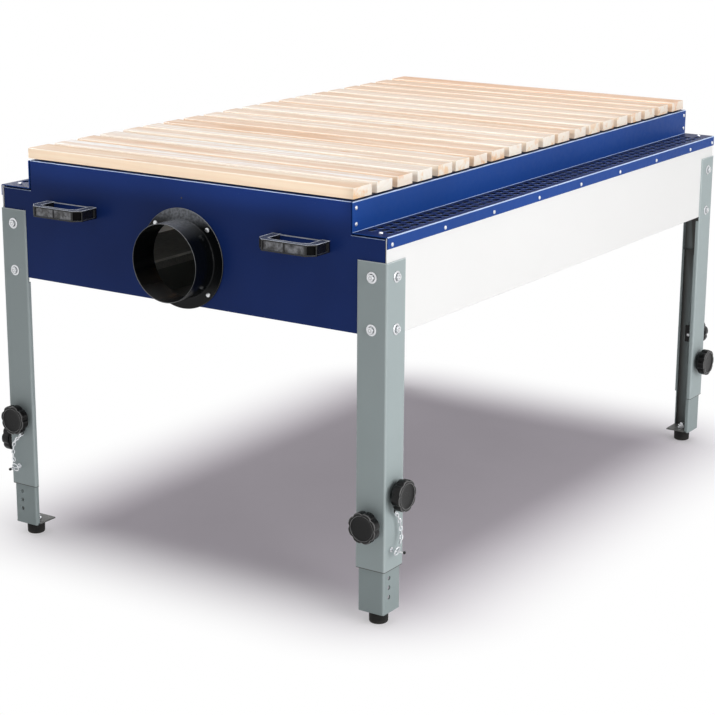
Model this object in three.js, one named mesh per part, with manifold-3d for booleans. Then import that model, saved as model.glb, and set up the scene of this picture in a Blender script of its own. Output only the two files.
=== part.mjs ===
// A downdraft table: a sheet-steel suction box on four telescopic legs. A slatted wooden top lifts off
// the box, a perforated ledge runs along both long sides, and a spigot for the suction hose stands at one
// end. Lengths are millimetres, +Z is up and the floor is at zero. X runs along the table with the spigot
// at its negative end, and the front is the negative Y side. Every height is counted up from the floor.

import * as THREE from 'three';
import { mergeVertices } from 'three/addons/utils/BufferGeometryUtils.js';
import Module from 'manifold-3d';

const wasm = await Module();
wasm.setup();

// Sheets, clearances and cutters
const sheet = 2; // thickness of the body's panels
const seam = 2; // gap between an end panel and the long panels that run past it
const fitGap = 0.3; // play between two pieces that touch
const overrun = 1; // how far a cutter runs past what it cuts
const bite = 0.5; // how deep two joined bodies of one piece run into each other

// Suction box
const bodyLength = 1500;
const bodyWidth = 966; // over the outer faces of the side panels
const ledgeWidth = 76.1; // from a side panel's face to the upper wall's face
const ductMargin = 14.6; // panel left above and below the spigot's tube
const ledgeRise = 3.5; // dark gap between an end panel's shoulder and the ledge
const upperRise = 58.3; // upper wall above the ledge
const rimHeight = 23.3; // flange of the ledge that laps over the side panel
const topReturn = 27; // upper wall's inward fold, which carries the slats
const endFlangeDepth = 20; // fold round an end panel
const boltEdge = 14.3; // sheet left beyond a leg bolt in the end panel's side fold
const bottomReturn = 18; // side panel's fold under the floor pan
const stiffReturn = 8; // side panel's fold under the ledge
const ribHeight = 67.4; // floor pan's long stiffening ribs
const ribFlange = 15;
const ribClearance = 4; // between the ribs and the spigot's tube, seen from the end

// Ledge slots
const slotLength = 14;
const slotWidth = 8;
const slotPitch = 28.65;
const slotRowInset = 21.3; // outer row from the rim's face
const slotRowSpacing = 20;
const slotRows = 3;
const slotStart = 41; // first slot from the end of the ledge

// Spigot
const tubeRadius = 80;
const tubeWall = 1.5;
const tubeReach = 60; // beyond the end panel
const tubeInside = 5; // through the end panel into the box
const tubePlay = 2; // between the tube and the hole in the end panel
const spigotFlange = 22.5; // width of the flange round the tube
const spigotFlangeThickness = 2.5;
const spigotScrewCount = 4;
const spigotScrewInset = 10.1; // screws from the flange's edge
const spigotScrewHead = 5;
const spigotScrewHeight = 3;
const spigotScrewShank = 2.5;
const spigotScrewPlay = 0.5;
const spigotScrewLength = 8;
const tubeSides = 36;

// Carry handles
const handleLength = 120;
const handleHeight = 22.5;
const handleDepth = 53;
const handleChamfer = 15;
const handleFoot = 18; // along the panel
const handleGrip = 17; // thickness of the bar in front of the fingers
const handleRecess = 3;
const handleRecessLength = 36;
const handleRecessWall = 3.5;
const handleRecessCount = 2;
const handleDrop = 16.5; // below the end panel's shoulder
const handleToLeg = 69.3;

// Slatted top
const slatCount = 20;
const slatThickness = 22;
const slatGap = 19.05;
const endSlatExtra = 9; // the first and the last slat are wider
const slatEdge = 2.5; // worn round edge
const slatSetback = 1.7; // from the end panel's face at the spigot end
const slatFarSetback = 18.3; // and at the far end
const bearerThickness = 3.6; // flat leg of the angle under the slats
const bearerWeb = 3; // its upright leg
const bearerWidth = 20;
const bearerDrop = 20; // upright leg below the box's top
const bearerEndGap = 1.7;
// How far each slat sits from its even place, as shares of the gap between slats.
const slatDriftShares = [
  0, -0.1, -0.15, -0.15, 0.05, -0.25, -0.3, -0.35, -0.3, -0.25,
  -0.15, -0.4, -0.1, -0.25, -0.4, -0.5, -0.45, -0.45, -0.4, -0.05,
];

// Outer legs
const legWidth = 68;
const legSheet = 3;
const legLip = 10; // stiffening lip along each flange's free edge
const lipNotch = 10.3; // the lips stop this far below the box
const outerLegLength = 615.4;
const legGrip = 145.1; // how far the outer leg overlaps the box
const legExposed = 90.2; // inner leg seen below the outer one

// Leg bolts
const boltShank = 4;
const boltPlay = 0.5;
const boltFlange = 11.5;
const boltFlangeThickness = 2;
const boltHead = 7.5;
const boltHeadHeight = 4.5;
const nutHeight = 6.5;
const boltTail = 2;
const boltDrop = 30.4; // upper bolt below the leg's top
const boltFloorGap = 1.4; // lower nut above the floor pan

// Inner legs and feet
const legPlay = 0.5; // between the two legs' flanges
const lipPlay = 1.5; // between the inner leg and the outer leg's lips
const legTravel = 80; // up and down from the stored height
const innerTopGap = 17.3; // inner leg below the box when it is pushed right up
const footPlate = 3;
const footHeight = 27.8;
const footRadius = 19.5;
const footTaper = 1;
const footRound = 3;
const footStud = 5;
const footStudPlay = 0.5;
const footNut = 9.8;
const footNutHeight = 8;
const footStudTail = 5;

// Knobs with their studs
const upperKnobRise = 155.5; // above the outer leg's bottom, on the leg's first face
const lowerKnobRise = 95; // and on its second face
const knobRadius = 32.5;
const knobLobes = 8;
const knobLobeDepth = 2.4;
const knobStepsPerLobe = 3;
const knobStand = 17; // underside of the head from the leg
const knobThickness = 14;
const knobFaceRadius = 25;
const knobFaceDepth = 2.5;
const knobHub = 14;
const studRadius = 4;
const studPlay = 0.7;
const studReach = 24; // into the leg

// Locking pins and their chains
const pinRise = 43; // above the outer leg's bottom
const pinRadius = 3.7;
const pinHoleRadius = 4;
const pinWeb = 1.8; // sheet between the pin holes and the stud's slot
const pinReach = 32;
const pinCollar = 8;
const pinCollarThickness = 2.5;
const pinRingOut = 18; // ring that the chain hangs on, as wide as the collar
const pinRingThickness = 2.5;
const pinTip = 5;
const pinTipLength = 6;
const pinHolePitch = 20;
const pinHoleMargin = 25; // lowest hole above the foot plate
const chainRadius = 2.2;
const chainTopOut = 9; // chain's upper end from the leg's face
// The chain's run from the knob's hub to the pin, as shares of its drop and of its sideways bow.
const chainDropShares = [0, 0.2, 0.45, 0.75, 1];
const chainBowShares = [0, 0.5, 1, 0.8, 0];
const chainBow = 8;
const chainSteps = 10;
const chainHalfSides = 3;

// Facets of round pieces
const fineSides = 18;
const roundSides = 12;
const smallSides = 10;
const holeSides = 8;
const hexSides = 6;
const slotArcSteps = 4;

// Heights above the floor
const outerLegBottom = footHeight + legExposed;
const outerLegTop = outerLegBottom + outerLegLength;
const bodyBottom = outerLegTop - legGrip;
const tubeHeight = bodyBottom + ductMargin + tubeRadius;
const shoulder = tubeHeight + tubeRadius + ductMargin;
const ledgeTop = shoulder + ledgeRise + sheet;
const boxTop = ledgeTop + upperRise;
const bearerTop = boxTop + fitGap + bearerThickness;
const slatBottom = bearerTop + fitGap;
const floorBottom = bodyBottom + sheet + fitGap;
const floorTop = floorBottom + sheet;
const upperBoltHeight = outerLegTop - boltDrop;
const lowerBoltHeight = floorTop + boltFloorGap + boltHead;
const boltHeights = [upperBoltHeight, lowerBoltHeight];

// Planes of the box, from its centre
const endFace = bodyLength / 2;
const sideFace = bodyWidth / 2;
const upperFace = sideFace - ledgeWidth;
const rimFace = sideFace + fitGap + sheet;
const endHalfLower = sideFace - sheet - seam;
const endHalfUpper = upperFace - sheet - seam;
const legCornerX = endFace + fitGap + legSheet;
const legCornerY = sideFace + fitGap + legSheet;
const boltX = legCornerX - legWidth / 2;
const boltY = legCornerY - legWidth / 2;
const sideFlangeDepth = endFace - boltX + boltEdge;
const boltHole = boltShank + boltPlay;

// Leg details, from the leg's outer corner
const innerOffset = legSheet + legPlay;
const innerEdge = legWidth - legSheet - lipPlay;
const innerLegTop = bodyBottom - legTravel - innerTopGap;
const faceMiddle = legWidth / 2;
const studHole = studRadius + studPlay;
const pinInset = faceMiddle - studHole - pinWeb - pinHoleRadius;
const upperKnobHeight = outerLegBottom + upperKnobRise;
const lowerKnobHeight = outerLegBottom + lowerKnobRise;
const pinHeight = outerLegBottom + pinRise;
const chainEndGap = fitGap + chainRadius / 3; // leaves room for the slant of the chain's ends
const knobReach = knobStand + knobThickness;

// The origin lies on the floor, under the middle of the whole outline.
const farReach = legCornerX + Math.max(knobReach, pinReach);
const ductReach = endFace + Math.max(tubeReach, handleDepth + fitGap);
const originShift = (ductReach - farReach) / 2;

const paint = {
  blue: { color: 0x21305c, roughness: 0.35, metalness: 0.1 },
  white: { color: 0xf2f2f3, roughness: 0.45, metalness: 0 },
  legGrey: { color: 0x8b9797, roughness: 0.5, metalness: 0.1 },
  innerGrey: { color: 0x7d8b8a, roughness: 0.5, metalness: 0.1 },
  ductBlack: { color: 0x17181a, roughness: 0.35, metalness: 0.2 },
  plasticBlack: { color: 0x1d1c1d, roughness: 0.45, metalness: 0 },
  rubber: { color: 0x181818, roughness: 0.85, metalness: 0 },
  zinc: { color: 0xb9bcc0, roughness: 0.3, metalness: 0.9 },
  wood: { color: 0xe6cfae, roughness: 0.7, metalness: 0 },
};

// Solids

function signedVolume(corners, triangles) {
  const a = new THREE.Vector3();
  const b = new THREE.Vector3();
  const c = new THREE.Vector3();
  let sum = 0;
  for (let i = 0; i < triangles.length; i += 3) {
    a.fromArray(corners, 3 * triangles[i]);
    b.fromArray(corners, 3 * triangles[i + 1]);
    c.fromArray(corners, 3 * triangles[i + 2]);
    sum += a.dot(b.cross(c));
  }
  return sum;
}

// A closed solid from a three.js geometry, its faces pointing out.
function solid(geometry) {
  const bare = geometry.clone();
  bare.deleteAttribute('normal');
  bare.deleteAttribute('uv');
  const merged = mergeVertices(bare);
  const corners = new Float32Array(merged.attributes.position.array);
  const kept = [];
  for (let i = 0; i < merged.index.count; i += 3) {
    const [a, b, c] = [0, 1, 2].map((step) => merged.index.getX(i + step));
    if (a !== b && b !== c && c !== a) kept.push(a, b, c);
  }
  if (signedVolume(corners, kept) < 0) kept.reverse();
  const mesh = new wasm.Mesh({ numProp: 3, vertProperties: corners, triVerts: new Uint32Array(kept) });
  return new wasm.Manifold(mesh);
}

function join(...solids) {
  return solids.reduce((whole, next) => whole.add(next));
}

function cut(whole, ...cutters) {
  return cutters.reduce((rest, cutter) => rest.subtract(cutter), whole);
}

function box([x0, x1], [y0, y1], [z0, z1]) {
  const geometry = new THREE.BoxGeometry(x1 - x0, y1 - y0, z1 - z0);
  geometry.translate((x0 + x1) / 2, (y0 + y1) / 2, (z0 + z1) / 2);
  return solid(geometry);
}

function outline(points) {
  return new THREE.Shape(points.map(([x, y]) => new THREE.Vector2(x, y)));
}

// A flat outline in X and Y, swept up from one height to another.
function upright(points, from, to) {
  const geometry = new THREE.ExtrudeGeometry(outline(points), { depth: to - from, bevelEnabled: false });
  geometry.translate(0, 0, from);
  return geometry;
}

// An outline in Y and Z, swept along X.
function alongX(points, from, to) {
  const geometry = upright(points, from, to);
  const turn = new THREE.Matrix4().makeBasis(
    new THREE.Vector3(0, 1, 0), new THREE.Vector3(0, 0, 1), new THREE.Vector3(1, 0, 0),
  );
  return solid(geometry.applyMatrix4(turn));
}

// An outline in X and Z, swept along Y.
function alongY(points, from, to) {
  const geometry = upright(points.map(([x, z]) => [z, x]), from, to);
  const turn = new THREE.Matrix4().makeBasis(
    new THREE.Vector3(0, 0, 1), new THREE.Vector3(1, 0, 0), new THREE.Vector3(0, 1, 0),
  );
  return solid(geometry.applyMatrix4(turn));
}

// A round bar or a prism along Z.
function bar(radius, from, to, sides) {
  const geometry = new THREE.CylinderGeometry(radius, radius, to - from, sides);
  geometry.rotateX(Math.PI / 2);
  geometry.translate(0, 0, (from + to) / 2);
  return geometry;
}

// A profile of radius and height, turned about Z.
function turned(profile, sides) {
  const points = profile.map(([radius, height]) => new THREE.Vector2(radius, height));
  const geometry = new THREE.LatheGeometry(points, sides);
  geometry.rotateX(Math.PI / 2);
  return geometry;
}

// Where a bar along Z is to stand: turned to run along X or Y, then moved.
const alongXTurn = new THREE.Matrix4().makeRotationY(Math.PI / 2);
const alongYTurn = new THREE.Matrix4().makeRotationX(-Math.PI / 2);

function placed(geometry, turn, x, y, z) {
  return solid(geometry.clone().applyMatrix4(turn).translate(x, y, z));
}

function sideOf(value) {
  return [-1, 1].map((side) => side * value);
}

const table = new THREE.Group();
table.position.x = originShift;

function addPiece(name, shape, finish, parent = table) {
  const data = shape.getMesh();
  const geometry = new THREE.BufferGeometry();
  geometry.setAttribute('position', new THREE.BufferAttribute(new Float32Array(data.vertProperties), 3));
  geometry.setIndex(new THREE.BufferAttribute(new Uint32Array(data.triVerts), 1));
  geometry.computeVertexNormals();
  const mesh = new THREE.Mesh(geometry, new THREE.MeshStandardMaterial(finish));
  mesh.name = name;
  parent.add(mesh);
  return mesh;
}

function turnedGroup(quarterTurns, parent = table) {
  const group = new THREE.Group();
  group.rotation.z = quarterTurns * Math.PI / 2;
  parent.add(group);
  return group;
}

// Suction box

// The T shape of an end panel, drawn in by the given amount.
function endOutline(inset) {
  const lower = endHalfLower - inset;
  const upper = endHalfUpper - inset;
  return [
    [-lower, bodyBottom + inset],
    [lower, bodyBottom + inset],
    [lower, shoulder - inset],
    [upper, shoulder - inset],
    [upper, boxTop - inset],
    [-upper, boxTop - inset],
    [-upper, shoulder - inset],
    [-lower, shoulder - inset],
  ];
}

// An end panel that faces +X, folded back all round, with deeper folds where the legs are bolted on.
function endPanel() {
  const face = alongX(endOutline(0), endFace - endFlangeDepth, endFace);
  const hollow = alongX(endOutline(sheet), endFace - endFlangeDepth - overrun, endFace - sheet);
  const folds = sideOf(1).map((side) => {
    const across = [side * (endHalfLower - sheet), side * endHalfLower].sort((a, b) => a - b);
    return box([endFace - sideFlangeDepth, endFace], across, [bodyBottom, shoulder]);
  });
  const boltHoles = boltHeights.flatMap((height) => {
    const through = bar(boltHole, -sideFlangeDepth, sideFlangeDepth, holeSides);
    return sideOf(1).flatMap((side) => [
      placed(through, alongXTurn, endFace, side * boltY, height),
      placed(through, alongYTurn, boltX, side * endHalfLower, height),
    ]);
  });
  return cut(join(cut(face, hollow), ...folds), ...boltHoles);
}

// Where the spigot's screws stand round its axis.
function spigotScrewPlaces() {
  const radius = tubeRadius + spigotFlange - spigotScrewInset;
  return Array.from({ length: spigotScrewCount }, (_, i) => {
    const angle = 2 * Math.PI * (i + 1 / 2) / spigotScrewCount;
    return [radius * Math.cos(angle), radius * Math.sin(angle)];
  });
}

function ductHoles() {
  const screwHole = spigotScrewShank + spigotScrewPlay;
  const reach = endFlangeDepth;
  const bore = placed(bar(tubeRadius + tubePlay, -reach, reach, tubeSides), alongXTurn, endFace, 0, tubeHeight);
  const screws = spigotScrewPlaces().map(([y, z]) => (
    placed(bar(screwHole, -reach, reach, holeSides), alongXTurn, endFace, y, tubeHeight + z)
  ));
  return [bore, ...screws];
}

// The white panel of the front, with a fold under the floor pan and one under the ledge.
function sidePanel() {
  const top = ledgeTop - sheet - fitGap;
  const inner = sideFace - sheet;
  const foldEnd = endFace - sideFlangeDepth - fitGap;
  const plate = box([-endFace, endFace], [-sideFace, -inner], [bodyBottom, top]);
  const bottomFold = box([-foldEnd, foldEnd], [-inner - bite, bottomReturn - inner], [bodyBottom, bodyBottom + sheet]);
  const topFold = box([-foldEnd, foldEnd], [-inner - bite, stiffReturn - inner], [top - sheet, top]);
  const boltHoles = boltHeights.flatMap((height) => sideOf(boltX).map((x) => (
    placed(bar(boltHole, -sheet - overrun, sheet + overrun, holeSides), alongYTurn, x, -sideFace, height)
  )));
  return cut(join(plate, bottomFold, topFold), ...boltHoles);
}

function ledgeSlots() {
  const cutters = [];
  for (let row = 0; row < slotRows; row += 1) {
    const shift = (row % 2) * slotPitch / 2;
    const y = slotRowInset + row * slotRowSpacing - rimFace;
    for (let x = slotStart - endFace + shift; x <= endFace - slotStart; x += slotPitch) {
      cutters.push(box(
        [x - slotLength / 2, x + slotLength / 2],
        [y - slotWidth / 2, y + slotWidth / 2],
        [ledgeTop - sheet - overrun, ledgeTop + overrun],
      ));
    }
  }
  return wasm.Manifold.union(cutters);
}

// One folded sheet for the front: the rim over the side panel, the perforated ledge, the upper wall and
// the inward fold that carries the slats.
function ledgePanel() {
  const rimBottom = ledgeTop - rimHeight;
  const foldEnd = endFace - endFlangeDepth - fitGap;
  const section = [
    [-rimFace, rimBottom],
    [sheet - rimFace, rimBottom],
    [sheet - rimFace, ledgeTop - sheet],
    [sheet - upperFace, ledgeTop - sheet],
    [sheet - upperFace, boxTop],
    [-upperFace, boxTop],
    [-upperFace, ledgeTop],
    [-rimFace, ledgeTop],
  ];
  const inner = sheet - upperFace - bite;
  const fold = box([-foldEnd, foldEnd], [inner, topReturn - upperFace], [boxTop - sheet, boxTop]);
  return cut(join(alongX(section, -endFace, endFace), fold), ledgeSlots());
}

// The floor of the box, with a long stiffening rib on either side of the spigot's axis.
function floorPan() {
  const halfLength = endFace - sheet - fitGap;
  const halfWidth = endHalfLower - sheet - fitGap;
  const ribInner = tubeRadius + ribClearance;
  const ribTop = floorTop + ribHeight;
  const long = [-halfLength, halfLength];
  const pan = box(long, [-halfWidth, halfWidth], [floorBottom, floorTop]);
  const ribs = sideOf(1).flatMap((side) => {
    const web = [side * ribInner, side * (ribInner + sheet)].sort((a, b) => a - b);
    const flange = [side * ribInner, side * (ribInner + ribFlange)].sort((a, b) => a - b);
    return [
      box(long, web, [floorTop - bite, ribTop]),
      box(long, flange, [ribTop - sheet, ribTop]),
    ];
  });
  return join(pan, ...ribs);
}

// Spigot, turned about its own axis with the end panel's face at zero and the hose end up.
function spigot() {
  const inner = tubeRadius - tubeWall;
  const flangeEdge = tubeRadius + spigotFlange;
  const flangeFront = fitGap + spigotFlangeThickness;
  const ring = turned([
    [inner, -tubeInside],
    [tubeRadius, -tubeInside],
    [tubeRadius, fitGap],
    [flangeEdge, fitGap],
    [flangeEdge, flangeFront],
    [tubeRadius, flangeFront],
    [tubeRadius, tubeReach],
    [inner, tubeReach],
    [inner, -tubeInside],
  ], tubeSides);
  const screws = spigotScrewPlaces().flatMap(([y, z]) => [
    solid(bar(spigotScrewHead, flangeFront - bite, flangeFront + spigotScrewHeight, smallSides).translate(z, y, 0)),
    solid(bar(spigotScrewShank, -spigotScrewLength, flangeFront, holeSides).translate(z, y, 0)),
  ]);
  return join(solid(ring), ...screws);
}

// A bridge handle: its outline is drawn from above, with the panel's face at x = 0 and the grip at +X.
function carryHandle() {
  const half = handleLength / 2;
  const gapEnd = half - handleFoot;
  const back = fitGap;
  const front = handleDepth + fitGap;
  const gripBack = front - handleGrip;
  const shape = [
    [back, -half],
    [front - handleChamfer, -half],
    [front, handleChamfer - half],
    [front, half - handleChamfer],
    [front - handleChamfer, half],
    [back, half],
    [back, gapEnd],
    [gripBack, gapEnd],
    [gripBack, -gapEnd],
    [back, -gapEnd],
  ];
  const pitch = handleRecessLength + handleRecessWall;
  const recesses = Array.from({ length: handleRecessCount }, (_, i) => {
    const middle = (i - (handleRecessCount - 1) / 2) * pitch;
    return box(
      [front - handleRecess, front + overrun],
      [middle - handleRecessLength / 2, middle + handleRecessLength / 2],
      [handleRecessWall, handleHeight - handleRecessWall],
    );
  });
  return cut(solid(upright(shape, 0, handleHeight)), ...recesses);
}

function addBox() {
  const ductEnd = turnedGroup(2);
  addPiece('duct_end_panel', cut(endPanel(), ...ductHoles()), paint.blue, ductEnd);
  addPiece('far_end_panel', endPanel(), paint.blue);
  addPiece('front_side_panel', sidePanel(), paint.white);
  addPiece('rear_side_panel', sidePanel(), paint.white, turnedGroup(2));
  addPiece('front_ledge_panel', ledgePanel(), paint.blue);
  addPiece('rear_ledge_panel', ledgePanel(), paint.blue, turnedGroup(2));
  addPiece('floor_pan', floorPan(), paint.blue);

  const duct = addPiece('duct_spigot', spigot(), paint.ductBlack, ductEnd);
  duct.position.set(endFace, 0, tubeHeight);
  duct.rotation.y = Math.PI / 2;

  const handleY = legCornerY - legWidth - handleToLeg - handleLength / 2;
  const handleBottom = shoulder - handleDrop - handleHeight;
  [['front', 1], ['rear', -1]].forEach(([name, side]) => {
    const handle = addPiece(`${name}_carry_handle`, carryHandle(), paint.plasticBlack, ductEnd);
    handle.position.set(endFace, side * handleY, handleBottom);
  });
}

// Slatted top

function slat(width) {
  const half = width / 2;
  const section = [
    [-half, slatBottom],
    [half, slatBottom],
    [half, slatBottom + slatThickness - slatEdge],
    [half - slatEdge, slatBottom + slatThickness],
    [slatEdge - half, slatBottom + slatThickness],
    [-half, slatBottom + slatThickness - slatEdge],
  ];
  return alongY(section, -upperFace, upperFace);
}

// An angle along the front, its flat leg under the slats and its upright leg inside the box.
function slatBearer() {
  const reach = endFace - endFlangeDepth - bearerEndGap;
  const webOuter = topReturn + fitGap - upperFace;
  const webInner = webOuter + bearerWeb;
  const section = [
    [webOuter, boxTop - bearerDrop],
    [webInner, boxTop - bearerDrop],
    [webInner, bearerTop],
    [webInner - bearerWidth, bearerTop],
    [webInner - bearerWidth, bearerTop - bearerThickness],
    [webOuter, bearerTop - bearerThickness],
  ];
  return alongX(section, -reach, reach);
}

function addSlats() {
  const field = bodyLength - slatSetback - slatFarSetback;
  const plainWidth = (field - 2 * endSlatExtra - (slatCount - 1) * slatGap) / slatCount;
  let start = slatSetback - endFace;
  for (let i = 0; i < slatCount; i += 1) {
    const atEnd = i === 0 || i === slatCount - 1;
    const width = plainWidth + (atEnd ? endSlatExtra : 0);
    const piece = addPiece(`slat_${String(i + 1).padStart(2, '0')}`, slat(width), paint.wood);
    piece.position.x = start + width / 2 + slatDriftShares[i] * slatGap;
    start += width + slatGap;
  }
  addPiece('front_slat_bearer', slatBearer(), paint.zinc);
  addPiece('rear_slat_bearer', slatBearer(), paint.zinc, turnedGroup(2));
}

// Legs. Each is drawn from its outer corner, with its first face looking along -Y and its second face
// along -X. A piece that stands on a face is drawn with +Z out of that face.

const outOfFirst = new THREE.Matrix4().makeRotationX(Math.PI / 2);
const outOfSecond = new THREE.Matrix4().makeRotationZ(-Math.PI / 2).multiply(outOfFirst);

function onFirst(geometry, along, height) {
  return placed(geometry, outOfFirst, along, 0, height);
}

function onSecond(geometry, along, height) {
  return placed(geometry, outOfSecond, 0, along, height);
}

// An angle with a lip along both free edges.
function lippedAngle(from, to, edge, bottom, top, lipTop) {
  const inside = from + legSheet;
  const angle = upright([[from, from], [edge, from], [edge, inside], [inside, inside], [inside, edge], [from, edge]],
    bottom, top);
  const lipIn = edge - legSheet;
  const lipEnd = from + legLip;
  const lips = [
    box([lipIn, edge], [from, lipEnd], [bottom, lipTop]),
    box([from, lipEnd], [lipIn, edge], [bottom, lipTop]),
  ];
  return join(solid(angle), ...lips);
}

// Flange bolt with its nut, on a stack of sheets behind the leg.
function legBolt(stack) {
  const nutFace = -legSheet - fitGap - stack - fitGap;
  const nutEnd = nutFace - nutHeight;
  return [
    bar(boltFlange, -bite, boltFlangeThickness, roundSides),
    bar(boltHead, 0, boltFlangeThickness + boltHeadHeight, hexSides),
    bar(boltShank, nutEnd - boltTail, 0, hexSides),
    bar(boltHead, nutEnd, nutFace, hexSides),
  ];
}

function outerLeg(endPanelOnFirst) {
  const sideStack = sheet + seam + sheet;
  const endStack = sheet;
  const firstBolt = legBolt(endPanelOnFirst ? endStack : sideStack);
  const secondBolt = legBolt(endPanelOnFirst ? sideStack : endStack);
  const bolts = boltHeights.flatMap((height) => [
    ...firstBolt.map((part) => onFirst(part, faceMiddle, height)),
    ...secondBolt.map((part) => onSecond(part, faceMiddle, height)),
  ]);
  const through = legSheet + overrun;
  const studCutter = bar(studHole, -through, overrun, roundSides);
  const pinCutter = bar(pinHoleRadius, -through, overrun, smallSides);
  const angle = lippedAngle(0, 0, legWidth, outerLegBottom, outerLegTop, bodyBottom - lipNotch);
  return cut(
    join(angle, ...bolts),
    onFirst(studCutter, faceMiddle, upperKnobHeight),
    onSecond(studCutter, faceMiddle, lowerKnobHeight),
    onFirst(pinCutter, pinInset, pinHeight),
  );
}

// A slot with round ends for a stud, as long as the leg's travel.
function studSlot() {
  const depth = innerOffset + legSheet + overrun;
  const shape = new THREE.Shape();
  shape.absarc(0, legTravel, studHole, 0, Math.PI);
  shape.absarc(0, -legTravel, studHole, Math.PI, 2 * Math.PI);
  const settings = { depth, bevelEnabled: false, curveSegments: slotArcSteps };
  const geometry = new THREE.ExtrudeGeometry(shape, settings);
  return geometry.translate(0, 0, -depth);
}

function innerLeg() {
  const plateTop = footHeight + footPlate;
  const footMiddle = (innerOffset + innerEdge) / 2;
  const angle = lippedAngle(innerOffset, innerOffset, innerEdge, footHeight, innerLegTop, innerLegTop);
  const plate = box([innerOffset, innerEdge], [innerOffset, innerEdge], [footHeight, plateTop]);
  const boltHoleInPlate = bar(footStud + footStudPlay, footHeight - overrun, plateTop + overrun, smallSides);
  const depth = innerOffset + legSheet + overrun;
  const pinCutter = bar(pinHoleRadius, -depth, 0, hexSides);
  const below = Math.floor((pinHeight - plateTop - pinHoleMargin) / pinHolePitch);
  const above = Math.floor(legTravel / pinHolePitch);
  const pinHoles = Array.from({ length: below + above + 1 }, (_, i) => (
    onFirst(pinCutter, pinInset, pinHeight + (i - below) * pinHolePitch)
  ));
  return cut(
    join(angle, plate),
    solid(boltHoleInPlate.translate(footMiddle, footMiddle, 0)),
    onFirst(studSlot(), faceMiddle, upperKnobHeight),
    onSecond(studSlot(), faceMiddle, lowerKnobHeight),
    ...pinHoles,
  );
}

// A rubber foot on its stud, with the nut above the foot plate.
function foot() {
  const top = footHeight - fitGap;
  const nutBottom = footHeight + footPlate + fitGap;
  const nutTop = nutBottom + footNutHeight;
  const puck = turned([
    [0, 0],
    [footRadius - footTaper - footRound, 0],
    [footRadius - footTaper, footRound],
    [footRadius, top],
    [0, top],
  ], fineSides);
  return join(
    solid(puck),
    solid(bar(footStud, top - bite, nutTop + footStudTail, smallSides)),
    solid(bar(footNut, nutBottom, nutTop, hexSides)),
  );
}

// A lobed knob on its stud, drawn with the leg's face at zero.
function knob() {
  const steps = knobLobes * knobStepsPerLobe;
  const middle = knobRadius - knobLobeDepth / 2;
  const lobed = Array.from({ length: steps }, (_, i) => {
    const angle = 2 * Math.PI * i / steps;
    const radius = middle + knobLobeDepth / 2 * Math.cos(knobLobes * angle);
    return [radius * Math.cos(angle), radius * Math.sin(angle)];
  });
  const head = solid(upright(lobed, knobStand, knobReach));
  const face = solid(bar(knobFaceRadius, knobReach - knobFaceDepth, knobReach + overrun, fineSides));
  const hub = solid(bar(knobHub, fitGap, knobStand + bite, roundSides));
  const stud = solid(bar(studRadius, -studReach, knobStand, smallSides));
  return join(cut(head, face), hub, stud);
}

// A locking pin with a collar, a ring for its chain and a blunt tip, stopped short of the inner leg.
function lockPin() {
  const shank = solid(bar(pinRadius, fitGap - innerOffset, pinReach - bite, smallSides));
  const collar = solid(bar(pinCollar, fitGap, fitGap + pinCollarThickness, roundSides));
  const ring = solid(bar(pinCollar, pinRingOut, pinRingOut + pinRingThickness, roundSides));
  const tip = solid(bar(pinTip, pinReach - pinTipLength, pinReach, smallSides));
  return join(shank, collar, ring, tip);
}

// The chain that keeps the pin, as one bar along its run from the upper knob's hub.
function pinChain(bowSide) {
  const endOut = pinRingOut + pinRingThickness / 2;
  const top = new THREE.Vector3(faceMiddle, upperKnobHeight - knobHub - chainEndGap, chainTopOut);
  const end = new THREE.Vector3(pinInset, pinHeight + pinCollar + chainEndGap, endOut);
  const points = chainDropShares.map((share, i) => {
    const point = top.clone().lerp(end, share);
    point.x += bowSide * chainBow * chainBowShares[i];
    return point;
  });
  const path = new THREE.CatmullRomCurve3(points);
  const section = new THREE.Shape();
  section.absarc(0, 0, chainRadius, 0, 2 * Math.PI);
  const settings = { steps: chainSteps, extrudePath: path, curveSegments: chainHalfSides, bevelEnabled: false };
  return solid(new THREE.ExtrudeGeometry(section, settings));
}

const legPlaces = [
  { name: 'duct_front', alongX: -1, alongY: -1, quarterTurns: 0, bowSide: 1 },
  { name: 'duct_rear', alongX: -1, alongY: 1, quarterTurns: -1, bowSide: -1 },
  { name: 'far_rear', alongX: 1, alongY: 1, quarterTurns: 2, bowSide: 1 },
  { name: 'far_front', alongX: 1, alongY: -1, quarterTurns: 1, bowSide: -1 },
];

function faceGroup(leg, second) {
  const group = turnedGroup(second ? -1 : 0, leg);
  const upEdge = new THREE.Group();
  upEdge.rotation.x = Math.PI / 2;
  group.add(upEdge);
  return upEdge;
}

function addLegs() {
  legPlaces.forEach((place) => {
    const { name, quarterTurns, bowSide } = place;
    const leg = turnedGroup(quarterTurns);
    leg.position.set(place.alongX * legCornerX, place.alongY * legCornerY, 0);
    const firstFace = faceGroup(leg, false);
    const secondFace = faceGroup(leg, true);
    const footMiddle = (innerOffset + innerEdge) / 2;
    addPiece(`${name}_outer_leg`, outerLeg(quarterTurns % 2 !== 0), paint.legGrey, leg);
    addPiece(`${name}_inner_leg`, innerLeg(), paint.innerGrey, leg);
    addPiece(`${name}_foot`, foot(), paint.rubber, leg).position.set(footMiddle, footMiddle, 0);
    addPiece(`${name}_upper_knob`, knob(), paint.plasticBlack, firstFace)
      .position.set(faceMiddle, upperKnobHeight, 0);
    addPiece(`${name}_lower_knob`, knob(), paint.plasticBlack, secondFace)
      .position.set(-faceMiddle, lowerKnobHeight, 0);
    addPiece(`${name}_lock_pin`, lockPin(), paint.zinc, firstFace).position.set(pinInset, pinHeight, 0);
    addPiece(`${name}_pin_chain`, pinChain(bowSide), paint.zinc, firstFace);
  });
}

addBox();
addSlats();
addLegs();

export default table;
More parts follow.
